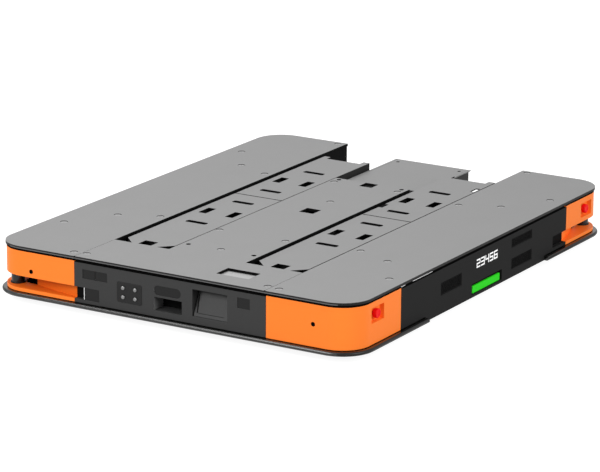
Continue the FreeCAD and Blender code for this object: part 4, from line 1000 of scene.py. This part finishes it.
    def side_panel(self, side: Side) -> None:
        """Dress a side panel in a darker copy of the black coat as painted shade, and black as painted
        shade where it lies behind its skin.

        Args:
            side: Side it stands on.
        """
        node = "side_panel_" + side.word
        inner_x = corners_of("side_panel_right")[1].x - self.skin_mm * MM
        panel = softened(node, node + "_skin", self.edge_mm)
        coat(panel, SHADED_SIDE_COAT)
        coat(panel, BLACK_AND_SHADE_COAT, lambda centre, normal: abs(centre.x) < inner_x)
        self.dark_fold(panel, self.panel_fold)
        fit(panel, CHASSIS, "panel_black", node)

    def build(self) -> None:
        """Dress the covers and panels, with painted shade keeping what lies behind them dark."""
        for _side, tail in body_corners():
            self.corner_cover(tail)
        self.front_panel()
        for side in Side:
            self.side_panel(side)


@dataclass
class FrontFace:
    """Panes, depth camera, charging block and its contact studs.

    The camera's glass leans back: it starts at `slope_foot` (Y and Z) and runs by `slope_run`.
    Each painted shade line on it has its start and end along and up the glass, and its width.
    """

    pane_edge: float = 0.3
    camera_edge: float = 0.4
    block_edge: float = 0.8
    block_steps: int = 3
    dome: float = 2.2
    dome_steps: int = 6
    dome_shade: float = 50.0
    slope_foot: tuple[float, float] = (-635.5, 49.0)
    slope_run: tuple[float, float] = (29.0, 67.0)
    glass_depth: float = 0.3
    mark_t: float = 0.3
    marks: tuple[tuple[float, float, float, float, float], ...] = (
        (72.0, 55.1, 76.7, 11.4, 3.4), (79.5, 11.0, 149.4, 11.4, 1.0))
    strip_x: tuple[float, float] = (-239.3, -237.9)
    strip_z: tuple[float, float] = (41.0, 70.0)
    strip_t: float = 1.5
    strip_edge: float = 0.3

    def camera_marks(self) -> None:
        """Lay the dark slit and foot line, painted shade lines, on the camera's tilted glass."""
        tilt = math.atan2(*self.slope_run)
        place = Matrix.Translation((0, self.slope_foot[0] * MM, self.slope_foot[1] * MM))
        place = place @ Matrix.Rotation(-tilt, 4, "X")
        lines = []
        for start_x, start_z, end_x, end_z, wide in self.marks:
            start, run = Vector((start_x, 0, start_z)), Vector((end_x - start_x, 0, end_z - start_z))
            half = Vector((0, self.mark_t, wide)) / 2 * MM
            line = block("line", -half, Vector((run.length * MM, half.y, half.z)))
            turn = Matrix.Rotation(-math.atan2(run.z, run.x), 4, "Y")
            shift = Matrix.Translation((start + Vector((0, self.glass_depth, 0))) * MM)
            line.data.transform(place @ shift @ turn)
            lines.append(line)
        whole = join("camera_glass_lines", lines)
        coat(whole, BLACK_AND_SHADE_COAT)
        fit(whole, CHASSIS, "black_plastic")

    def slot_strip(self) -> None:
        """Stand the bright strip at the end of the slot's pane, a glowing painted highlight."""
        face = corners_of("front_lenses")[0].y
        strip = block("slot_end_strip",
                      Vector((self.strip_x[0] * MM, face, self.strip_z[0] * MM)),
                      Vector((self.strip_x[1] * MM, face + self.strip_t * MM, self.strip_z[1] * MM)))
        round_edges(strip, self.strip_edge * MM)
        coat(strip, GLOWING_CLIP_PLATE)
        fit(strip, CHASSIS, "bright_steel")

    def studs(self) -> None:
        """Model one domed stud and copy it to the other seats."""
        boxes = solid_boxes("charge_contacts")
        low, high = boxes[0]
        middle = (low + high) / 2
        model = barrel("stud", (high.x - low.x) / 2, high.y - low.y, middle, Axis.Y)
        with editing(model, lambda centre, normal: normal.y < -FACING):
            bpy.ops.mesh.bevel(offset=self.dome * MM, segments=self.dome_steps, affect="EDGES",
                               clamp_overlap=True)
        studs = [model]
        for near, far in boxes[1:]:
            studs.append(copy_to(model, "stud", Matrix.Translation((near + far) / 2 - middle)))
        whole = join("charging_studs", studs)
        smooth(whole, self.dome_shade)
        # Painted shade: the studs are a darker grey plating
        coat(whole, SHADED_STUD_PLATE)
        fit(whole, CHASSIS, "contact_metal", "charge_contacts")

    def build(self) -> None:
        """Dress the panes, the camera and the block, and add their small pieces."""
        dress("front_lenses", "smoked_front_panes", SMOKED_ACRYLIC, CHASSIS, "smoked_pane",
              self.pane_edge)
        dress("depth_camera", "depth_camera_face", CAMERA_GLASS, CHASSIS, "black_plastic",
              self.camera_edge)
        dress("charge_block", "charging_block", MOULDED_BLACK, CHASSIS, "black_plastic",
              self.block_edge, self.block_steps)
        self.camera_marks()
        self.slot_strip()
        self.studs()


@dataclass
class Vents:
    """Finely louvred grilles in the side panels."""

    rim: float = 2.2
    edge_mm: float = 0.2
    edge_steps: int = 1
    pitch: float = 3.0
    slat_t: float = 0.9
    slat_share: float = 0.9
    tilt: float = 38.0

    def slats(self, low: Vector, high: Vector) -> bpy.types.Object:
        """Model a column of slats, tilted with their outer edge up.

        Args:
            low: Low corner of the space for them.
            high: High corner of the space for them.

        Returns:
            The slats.
        """
        height = high.z - low.z
        pitch = self.pitch * MM
        count = int(height / pitch)
        first = low.z + (height - (count - 1) * pitch) / 2
        half = self.slat_t * MM / 2
        pivot = ((low.x + high.x) / 2, low.y, first)
        turn = math.radians(math.copysign(self.tilt, pivot[0]))
        slat = block("slat", Vector((low.x, low.y, first - half)),
                     Vector((high.x, high.y, first + half)))
        with editing(slat):
            bpy.ops.transform.rotate(value=turn, orient_axis="Y", center_override=pivot)
            bpy.ops.transform.resize(value=(self.slat_share, 1.0, 1.0), center_override=pivot)
        rows = slat.modifiers.new("rows", "ARRAY")
        rows.use_relative_offset = False
        rows.use_constant_offset = True
        rows.constant_offset_displace = (0, 0, pitch)
        rows.count = count
        pick(slat)
        bpy.ops.object.modifier_apply(modifier=rows.name)
        return slat

    def grille(self, low: Vector, high: Vector) -> bpy.types.Object:
        """Model one grille.

        Args:
            low: Low corner of the opening's frame.
            high: High corner of the opening's frame.

        Returns:
            The grille with its slats.
        """
        rim = self.rim * MM
        frame = block("frame", low, high)
        inside = block("inside", low + Vector((-rim, rim, rim)), high + Vector((rim, -rim, -rim)))
        cut_out(frame, inside)
        round_edges(frame, self.edge_mm * MM, self.edge_steps)
        slats = self.slats(low + Vector((0, rim, rim)), high - Vector((0, rim, rim)))
        return join("grille", [frame, slats])

    def build(self) -> None:
        """Model all grilles and join them."""
        grilles = [self.grille(*corners) for corners in solid_boxes("vent_grilles")]
        whole = join("louvred_vents", grilles)
        coat(whole, GRILLE_BLACK)
        fit(whole, CHASSIS, "black_plastic", "vent_grilles")


@dataclass
class StatusLights:
    """Lit bars low in the side panels."""

    edge_mm: float = 1.0
    edge_steps: int = 3

    def build(self) -> None:
        """Dress both light bars."""
        dress("status_lights", "green_status_bars", LIT_GREEN, CHASSIS, "light_green",
              self.edge_mm, self.edge_steps)


@dataclass
class SideNumber:
    """Printed row of digits on the right side panel, in plain strokes."""

    digits: str = "23456"
    start_y: float = -51.0
    low_z: float = 89.0
    high: float = 21.0
    wide: float = 18.5
    pitch: float = 22.0
    stroke: float = 3.6
    thick: float = 0.12
    strokes: dict[str, str] = field(default_factory=lambda: {
        "2": "abged", "3": "abgcd", "4": "fgbc", "5": "afgcd", "6": "afgcde"})

    def span(self, letter: str) -> tuple[float, float, float, float]:
        """Place of one stroke inside a digit.

        Args:
            letter: Stroke's letter, clockwise from the top with the middle last.

        Returns:
            Low Y, low Z, high Y and high Z, in millimetres from the digit's low front corner.
        """
        half, full, line = self.high / 2, self.high, self.stroke
        spans = {
            "a": (0, full - line, self.wide, full),
            "b": (self.wide - line, half, self.wide, full),
            "c": (self.wide - line, 0, self.wide, half),
            "d": (0, 0, self.wide, line),
            "e": (0, 0, line, half),
            "f": (0, half, line, full),
            "g": (0, half - line / 2, self.wide, half + line / 2),
        }
        return spans[letter]

    def build(self) -> None:
        """Lay the strokes on the panel's face."""
        face = corners_of("side_panel_right")[1].x
        pieces = []
        for number, digit in enumerate(self.digits):
            start = self.start_y + number * self.pitch
            for letter in self.strokes[digit]:
                near_y, near_z, far_y, far_z = self.span(letter)
                low = (face - self.thick * MM, (start + near_y) * MM, (self.low_z + near_z) * MM)
                high = (face + self.thick * MM, (start + far_y) * MM, (self.low_z + far_z) * MM)
                pieces.append(block("stroke", Vector(low), Vector(high)))
        number_row = join("printed_side_number", pieces)
        coat(number_row, GLOWING_PRINT_WHITE)
        fit(number_row, CHASSIS, "panel_black")


@dataclass
class PanelClips:
    """Plated clips in the gap between the right side panel and the deck, glowing a little as painted
    highlight.
    """

    spans_y: tuple[tuple[float, float], ...] = ((-417.0, -398.0), (-362.0, -269.0))
    depth: float = 3.0
    inset: float = 1.0
    edge_mm: float = 0.5
    z: tuple[float, float] = (134.6, 137.2)

    def build(self) -> None:
        """Model a short and a long clip."""
        face = corners_of("side_panel_right")[1].x - self.inset * MM
        clips = []
        for near, far in self.spans_y:
            clip = block("clip", Vector((face - self.depth * MM, near * MM, self.z[0] * MM)),
                         Vector((face, far * MM, self.z[1] * MM)))
            round_edges(clip, self.edge_mm * MM)
            clips.append(clip)
        whole = join("side_panel_clips", clips)
        smooth(whole)
        coat(whole, GLOWING_CLIP_PLATE)
        fit(whole, CHASSIS, "bright_steel")


@dataclass
class Bumper:
    """Rubber bumper pieces round the foot."""

    pieces: tuple[str, ...] = ("bumper_front", "bumper_rear_left", "bumper_rear_right")
    flank: float = 0.35

    def build(self) -> None:
        """Dress the bumper pieces, glossy to the ends, with a darker dull copy on the sides as painted
        shade.
        """
        for node in self.pieces:
            strip = softened(node, node + "_strip", 0.0)
            coat(strip, BUMPER_RUBBER)
            coat(strip, SHADED_FLANK_RUBBER, lambda centre, normal: abs(normal.x) > self.flank)
            fit(strip, CHASSIS, "bumper_rubber", node)


@dataclass
class EmergencyStops:
    """Red palm buttons in the four side pockets."""

    head_t: float = 9.0
    head_sides: int = 64
    rim: float = 2.2
    rim_steps: int = 5
    dish_inset: float = 3.0
    dish: float = 0.5
    dish_facing: float = 0.99
    waist: float = 3.0
    stem_r: float = 6.0
    stem_sides: int = 32
    shade: float = 50.0

    def button(self, low: Vector, high: Vector) -> bpy.types.Object:
        """Model the front right button where its node stands.

        Args:
            low: Low corner of the node.
            high: High corner of the node.

        Returns:
            The button, which faces +X.
        """
        middle = (low + high) / 2
        head_t = self.head_t * MM
        length = high.x - low.x - head_t
        head = barrel("head", (high.y - low.y) / 2, head_t,
                      Vector((high.x - head_t / 2, middle.y, middle.z)), Axis.X, self.head_sides)
        with editing(head, lambda centre, normal: normal.x > FACING):
            bpy.ops.mesh.bevel(offset=self.rim * MM, segments=self.rim_steps, affect="EDGES",
                               clamp_overlap=True)
        with editing(head, lambda centre, normal: normal.x > self.dish_facing):
            bpy.ops.mesh.inset(thickness=self.dish_inset * MM)
            bpy.ops.transform.translate(value=(-self.dish * MM, 0, 0))
        with editing(head, lambda centre, normal: normal.x < -FACING):
            bpy.ops.mesh.inset(thickness=self.waist * MM)
        stem = barrel("stem", self.stem_r * MM, length,
                      Vector((low.x + length / 2, middle.y, middle.z)), Axis.X, self.stem_sides)
        button = join("stop_button", [head, stem])
        smooth(button, self.shade)
        return button

    def build(self) -> None:
        """Copy the button to all four pockets."""
        low, high = corners_of("estop_front_right")
        model = self.button(low, high)
        for side, tail in body_corners():
            near, far = corners_of("estop_" + tail)
            flip = Matrix.Scale(side.value, 4, Axis.X.vector)
            home = flip @ ((low + high) / 2)
            shift = Matrix.Translation((near + far) / 2 - home)
            button = copy_to(model, "stop_button_" + tail, shift @ flip)
            coat(button, STOP_RED)
            fit(button, "stop_button_" + tail, "stop_red", "estop_" + tail)
        bpy.data.objects.remove(model)


@dataclass
class Scanners:
    """Laser scanners in two corners: dark window drum under a matt housing."""

    edge_mm: float = 0.4
    window_z: tuple[float, float] = (43.6, 68.4)
    wall_rise: float = 0.5

    def build(self) -> None:
        """Dress the drums and their windows."""
        low, high = (z * MM for z in self.window_z)
        drums = softened("scanners", "laser_scanners", self.edge_mm)
        coat(drums, MOULDED_BLACK)
        coat(drums, SCANNER_GLASS,
             lambda centre, normal: low < centre.z < high and abs(normal.z) < self.wall_rise)
        fit(drums, CHASSIS, "black_plastic", "scanners")


@dataclass
class DriveWheels:
    """Tread, hub and shaft of both drive wheels."""

    groove_w: float = 1.4
    groove_d: float = 1.2
    groove_gap: float = 10.0
    groove_rows: tuple[int, ...] = (-1, 0, 1)
    sides: int = 96
    ring_over: float = 1.1
    core_over: float = 3.0
    hub_edge: float = 0.6

    def grooved(self, tyre: bpy.types.Object, low: Vector, high: Vector) -> None:
        """Cut three grooves round the tread.

        Args:
            tyre: The tread.
            low: Low corner of the tyre.
            high: High corner of the tyre.
        """
        middle = (low + high) / 2
        radius = (high.z - low.z) / 2
        width = self.groove_w * MM
        for row in self.groove_rows:
            place = middle + Vector((row * self.groove_gap * MM, 0, 0))
            ring = barrel("groove", radius * self.ring_over, width, place, Axis.X, self.sides)
            core = barrel("core", radius - self.groove_d * MM, width * self.core_over, place, Axis.X,
                          self.sides)
            cut_out(ring, core)
            cut_out(tyre, ring)

    def build(self) -> None:
        """Dress both wheels."""
        for side in Side:
            body = "drive_wheel_" + side.word
            node = "drive_tyre_" + side.word
            tyre = softened(node, side.word + "_drive_tread", 0.0)
            self.grooved(tyre, *corners_of(node))
            smooth(tyre)
            coat(tyre, TREAD_RUBBER)
            fit(tyre, body, "drive_tread", node)
            dress("drive_hub_" + side.word, side.word + "_drive_hub", CAST_ALLOY, body, "cast_alloy",
                  self.hub_edge)


@dataclass
class Castors:
    """Forks and wheels of the four castors."""

    fork_edge: float = 0.5
    wheel_edge: float = 0.3
    hub_r: float = 15.5

    def wheel(self, tail: str) -> None:
        """Dress a castor's wheel: grey tread on a black hub.

        Args:
            tail: End of its node's name.
        """
        node = "castor_wheel_" + tail
        low, high = corners_of(node)
        axle = (low + high) / 2
        reach = self.hub_r * MM
        wheel = softened(node, node + "_tread", self.wheel_edge)
        coat(wheel, CASTOR_RUBBER)
        coat(wheel, MOULDED_BLACK,
             lambda centre, normal: math.hypot(centre.y - axle.y, centre.z - axle.z) < reach)
        fit(wheel, "castor_roll_" + tail, "castor_tread", node)

    def build(self) -> None:
        """Dress the four forks and wheels."""
        for _side, tail in body_corners():
            node = "castor_fork_" + tail
            dress(node, node + "_pressing", ZINC_PLATE, "castor_swivel_" + tail, "zinc_steel",
                  self.fork_edge)
            self.wheel(tail)


@dataclass
class LiftPlatforms:
    """Both platforms with their frames, wedge carriages and lead screws.

    A screw's rib is as wide as `rib_share` of the pitch and `rib_rise` times the thread's depth
    high, with its middle at `rib_seat` of the depth, so that its foot sinks into the core.
    """

    edge_mm: float = 0.5
    root_r: float = 6.6
    crest_r: float = 7.95
    lead: float = 20.0
    starts: int = 4
    rib_share: float = 0.45
    rib_rise: float = 1.6
    rib_seat: float = 0.2
    turn_steps: int = 20
    round_sides: int = 32
    thread_shade: float = 40.0
    plain_end: float = 45.0
    end_gap: float = 4.0
    sheet_t: float = 3.0
    margin: float = 4.0
    level: float = 0.97
    joint_y: tuple[float, float] = (57.2, 61.8)
    notch_y: tuple[float, float] = (138.0, 171.0)
    flange_t: float = 2.6

    def rib(self, turns: int) -> bpy.types.Object:
        """Wind one rib of the thread round the Y axis, from the origin on.

        Args:
            turns: Number of whole turns.

        Returns:
            The rib.
        """
        pitch = self.lead / self.starts * MM
        rise = (self.crest_r - self.root_r) * self.rib_rise * MM
        seat = (self.crest_r * self.rib_seat + self.root_r * (1 - self.rib_seat)) * MM
        bpy.ops.mesh.primitive_plane_add(size=1.0, rotation=(0, math.pi / 2, 0))
        rib = settle(bpy.context.object, "rib")
        rib.data.transform(Matrix.Diagonal((1, pitch * self.rib_share, rise, 1)))
        rib.data.transform(Matrix.Translation((0, 0, seat)))
        with editing(rib):
            bpy.ops.mesh.delete(type="ONLY_FACE")
        screw = rib.modifiers.new("thread", "SCREW")
        screw.axis = "Y"
        screw.angle = 2 * math.pi
        screw.screw_offset = self.lead * MM
        screw.iterations = turns
        screw.steps = self.turn_steps
        screw.render_steps = self.turn_steps
        pick(rib)
        bpy.ops.object.modifier_apply(modifier=screw.name)
        return rib

    def lead_screw(self, low: Vector, high: Vector) -> bpy.types.Object:
        """Model a lead screw where its node stands: plain ends and a four-start thread between.

        Args:
            low: Low corner of the screw.
            high: High corner of the screw.

        Returns:
            The screw.
        """
        middle = (low + high) / 2
        plain = self.plain_end * MM
        start = low.y + plain
        core = barrel("core", self.root_r * MM, high.y - low.y, middle, Axis.Y, self.round_sides)
        sleeve = barrel("journal", self.crest_r * MM, plain,
                        Vector((middle.x, low.y + plain / 2, middle.z)), Axis.Y, self.round_sides)
        round_edges(sleeve, self.edge_mm * MM)
        rib = self.rib(int((high.y - start - self.end_gap * MM) / (self.lead * MM)))
        rib.data.transform(Matrix.Translation((middle.x, start, middle.z)))
        ribs = [rib]
        for number in range(1, self.starts):
            step = number * self.lead / self.starts * MM
            ribs.append(copy_to(rib, "rib", Matrix.Translation((0, step, 0))))
        whole = join("lead_screw", [core, sleeve] + ribs)
        with editing(whole):
            bpy.ops.mesh.normals_make_consistent(inside=False)
        smooth(whole, self.thread_shade)
        return whole

    def in_gap(self, side: Side) -> Test:
        """Make a test for the faces of a platform's sheets that look into a gap.

        Args:
            side: Side the platform lies on.

        Returns:
            The test.
        """
        low, high = corners_of("lift_plates_" + side.word)
        middle, reach = (low.x + high.x) / 2, (high.x - low.x) / 2 - self.margin * MM
        under = high.z - self.sheet_t * MM
        flange = low.x + self.flange_t * MM

        def inside(centre: Vector, normal: Vector) -> bool:
            """Tell whether a face is a sheet's edge, the joint's floor or a notch's flange.

            Args:
                centre: The face's centre.
                normal: The face's normal.

            Returns:
                Whether it is one of them.
            """
            y = centre.y / MM
            bevel = abs(normal.z) < self.level and abs(centre.x - middle) < reach
            edge = centre.z > under and (bevel or upright(centre, normal))
            joint = normal.z > self.level and self.joint_y[0] < y < self.joint_y[1]
            beside = side is Side.RIGHT and centre.x < flange and centre.z > under
            return edge or joint or (beside and self.notch_y[0] < y < self.notch_y[1])

        return inside

    def sheets(self, side: Side) -> None:
        """Dress a platform's sheets: grey on top, with painted shade darker on the edges and black in
        the gaps.

        Args:
            side: Side the platform lies on.
        """
        node = "lift_plates_" + side.word
        plates = softened(node, side.word + "_platform_sheets", self.edge_mm)
        coat(plates, DECK_COAT)
        coat(plates, SHADED_EDGE_COAT, upright)
        for place in self.joint_y + self.notch_y:
            split_faces(plates, Axis.Y, place)
        if side is Side.RIGHT:
            split_faces(plates, Axis.X, corners_of(node)[0].x / MM + self.flange_t)
        even_normals(plates)
        coat(plates, BLACK_AND_SHADE_COAT, self.in_gap(side))
        fit(plates, "lift_" + side.word, "lift_paint", node)

    def drive(self, side: Side) -> None:
        """Dress what lifts a platform: its frame, its wedge carriage and its lead screw.

        Args:
            side: Side the platform lies on.
        """
        word = side.word
        frame = softened("lift_frame_" + word, word + "_platform_frame", self.edge_mm)
        coat(frame, FRAME_COAT)
        # Painted shade: the frame's top faces are black, in the shade under the sheets
        coat(frame, BLACK_AND_SHADE_COAT, lambda centre, normal: normal.z > FACING)
        fit(frame, "lift_" + word, "lift_paint", "lift_frame_" + word)
        dress("wedge_carriage_" + word, word + "_wedge_carriage", TURNED_STEEL, "wedge_" + word,
              "bright_steel", self.edge_mm)
        node = "lift_screw_" + word
        screw = self.lead_screw(*corners_of(node))
        screw.name = word + "_lead_screw"
        coat(screw, TURNED_STEEL)
        fit(screw, "screw_" + word, "bright_steel", node)

    def build(self) -> None:
        """Dress the platforms and their drives."""
        for side in Side:
            self.sheets(side)
            self.drive(side)


@dataclass
class InnerParts:
    """Pan, wells, motors, castor bridges, guides and the boxes inside the body.

    Each row has the node, the piece's name, its material slot and its finish.
    """

    edge_mm: float = 0.4
    rows: tuple[tuple[str, str, str, Finish], ...] = (
        ("base_pan", "floor_pan", "sheet_steel", BLACK_AND_SHADE_COAT),
        ("lift_well_left", "left_channel_trough", "sheet_steel", BLACK_AND_SHADE_COAT),
        ("lift_well_right", "right_channel_trough", "sheet_steel", BLACK_AND_SHADE_COAT),
        ("castor_mounts", "castor_bridges", "sheet_steel", ZINC_PLATE),
        ("battery_pack", "battery_case", "black_plastic", MOULDED_BLACK),
        ("controller", "computer_case", "cast_alloy", CAST_ALLOY),
        ("gearmotor_left", "left_gearmotor_case", "cast_alloy", CAST_ALLOY),
        ("gearmotor_right", "right_gearmotor_case", "cast_alloy", CAST_ALLOY),
        ("lift_motors", "lift_motor_cases", "cast_alloy", MOULDED_BLACK),
        ("lift_guides", "guide_posts_and_rails", "bright_steel", TURNED_STEEL),
        ("estop_blocks", "stop_contact_blocks", "black_plastic", MOULDED_BLACK),
    )

    def build(self) -> None:
        """Dress each inner part."""
        for node, name, slot, finish in self.rows:
            dress(node, name, finish, CHASSIS, slot, self.edge_mm)


# Studio


@dataclass(frozen=True)
class SoftBox:
    """A square lamp that faces the robot, with its place and side in metres and its watts."""

    name: str
    place: tuple[float, float, float]
    size: float
    power: float

    def build(self) -> None:
        """Hang the lamp."""
        place = Vector(self.place)
        aim = (-place).to_track_quat("-Z", "Y").to_euler()
        bpy.ops.object.light_add(type="AREA", location=place, rotation=aim)
        lamp = bpy.context.object
        lamp.name = self.name
        lamp.data.size = self.size
        lamp.data.energy = self.power


@dataclass
class Studio:
    """Floor, lamps, world and camera, with the places in metres."""

    focal_mm: float = 196.326
    sensor_mm: float = 36.0
    far: float = 100.0
    place: tuple[float, float, float] = (4.00727, -6.70382, 2.30106)
    azimuth: float = 31.039
    elevation: float = 15.869
    roll: float = 0.369
    floor_size: float = 40.0
    floor_colour: str = "8c8c8c"
    floor_glow: float = 0.9
    white: str = "ffffff"
    ambient: float = 0.45
    backdrop: float = 1.0
    lamps: tuple[SoftBox, ...] = (
        SoftBox("front_soft_box", (-1.5, -5.0, 3.0), 3.0, 250.0),
        SoftBox("right_soft_box", (5.0, -1.0, 2.5), 3.0, 190.0),
        SoftBox("top_soft_box", (-1.5, 1.5, 3.4), 2.0, 80.0),
        SoftBox("high_left_soft_box", (-2.5, -1.35, 4.1), 1.4, 40.0),
    )

    def camera(self) -> None:
        """Set the camera where the photograph was taken."""
        turn, rise, roll = (math.radians(value) for value in (self.azimuth, self.elevation, self.roll))
        back = Vector((math.sin(turn) * math.cos(rise), -math.cos(turn) * math.cos(rise),
                       math.sin(rise)))
        level = (-back).cross(Axis.Z.vector).normalized()
        over = level.cross(-back)
        right = level * math.cos(roll) + over * math.sin(roll)
        up = over * math.cos(roll) - level * math.sin(roll)
        pose = Matrix((right, up, back)).transposed().to_4x4()
        pose.translation = Vector(self.place)
        bpy.ops.object.camera_add()
        camera = bpy.context.object
        camera.name = "photo_camera"
        camera.matrix_world = pose
        camera.data.lens = self.focal_mm
        camera.data.sensor_width = self.sensor_mm
        camera.data.clip_end = self.far
        bpy.context.scene.camera = camera

    def in_sight(self, tree: bpy.types.NodeTree) -> bpy.types.NodeSocket:
        """Add the test for rays that show the background: straight, mirrored or through glass.

        Args:
            tree: Node tree that receives the test.

        Returns:
            A socket that gives one for such a ray and zero for the others.
        """
        rays = add_node(tree, "ShaderNodeLightPath")
        shown = rays.outputs["Is Camera Ray"]
        for name in ("Is Glossy Ray", "Is Transmission Ray"):
            shown = add_node(tree, "ShaderNodeMath", {"operation": "MAXIMUM"},
                             {0: shown, 1: rays.outputs[name]}).outputs[0]
        return shown

    def floor(self) -> None:
        """Lay a pale floor that shows white to the camera and keeps a soft shadow."""
        bpy.ops.mesh.primitive_plane_add(size=self.floor_size, location=(0, 0, 0))
        floor = bpy.context.object
        floor.name = "studio_floor"
        material, tree = blank_material("pale_studio_floor")
        shown = self.in_sight(tree)
        matt = add_node(tree, "ShaderNodeBsdfDiffuse", {"Color": linear(self.floor_colour)})
        glow = add_node(tree, "ShaderNodeEmission",
                        {"Color": linear(self.white), "Strength": self.floor_glow})
        both = add_node(tree, "ShaderNodeAddShader", None, {0: matt.outputs[0], 1: glow.outputs[0]})
        choice = add_node(tree, "ShaderNodeMixShader", None,
                          {"Fac": shown, 1: matt.outputs[0], 2: both.outputs[0]})
        add_node(tree, "ShaderNodeOutputMaterial", None, {"Surface": choice.outputs[0]})
        floor.data.materials.append(material)

    def world(self) -> None:
        """Light from all round, with a white backdrop for what sees it."""
        world = bpy.data.worlds.new("studio_world")
        bpy.context.scene.world = world
        world.use_nodes = True
        tree = world.node_tree
        tree.nodes.clear()
        shown = self.in_sight(tree)
        dim, full = (add_node(tree, "ShaderNodeBackground",
                              {"Color": linear(self.white), "Strength": strength})
                     for strength in (self.ambient, self.backdrop))
        choice = add_node(tree, "ShaderNodeMixShader", None,
                          {"Fac": shown, 1: dim.outputs[0], 2: full.outputs[0]})
        add_node(tree, "ShaderNodeOutputWorld", None, {"Surface": choice.outputs[0]})

    def build(self) -> None:
        """Set up the whole studio."""
        self.camera()
        self.floor()
        self.world()
        for lamp in self.lamps:
            lamp.build()
        bpy.context.scene.view_settings.view_transform = "Standard"


def main() -> None:
    """Build the robot's looks piece by piece."""
    logging.basicConfig(level=logging.INFO, format="%(name)s %(message)s")
    FRAME.update(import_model())
    Studio().build()
    parts = (
        Deck(), DeckScrews(), Skin(), FrontFace(), Vents(), StatusLights(), SideNumber(),
        PanelClips(), Bumper(), EmergencyStops(), Scanners(), DriveWheels(), Castors(),
        LiftPlatforms(), InnerParts(),
    )
    for part in parts:
        part.build()
        LOG.info("%s done", type(part).__name__)


if __name__ == "__main__":
    main()
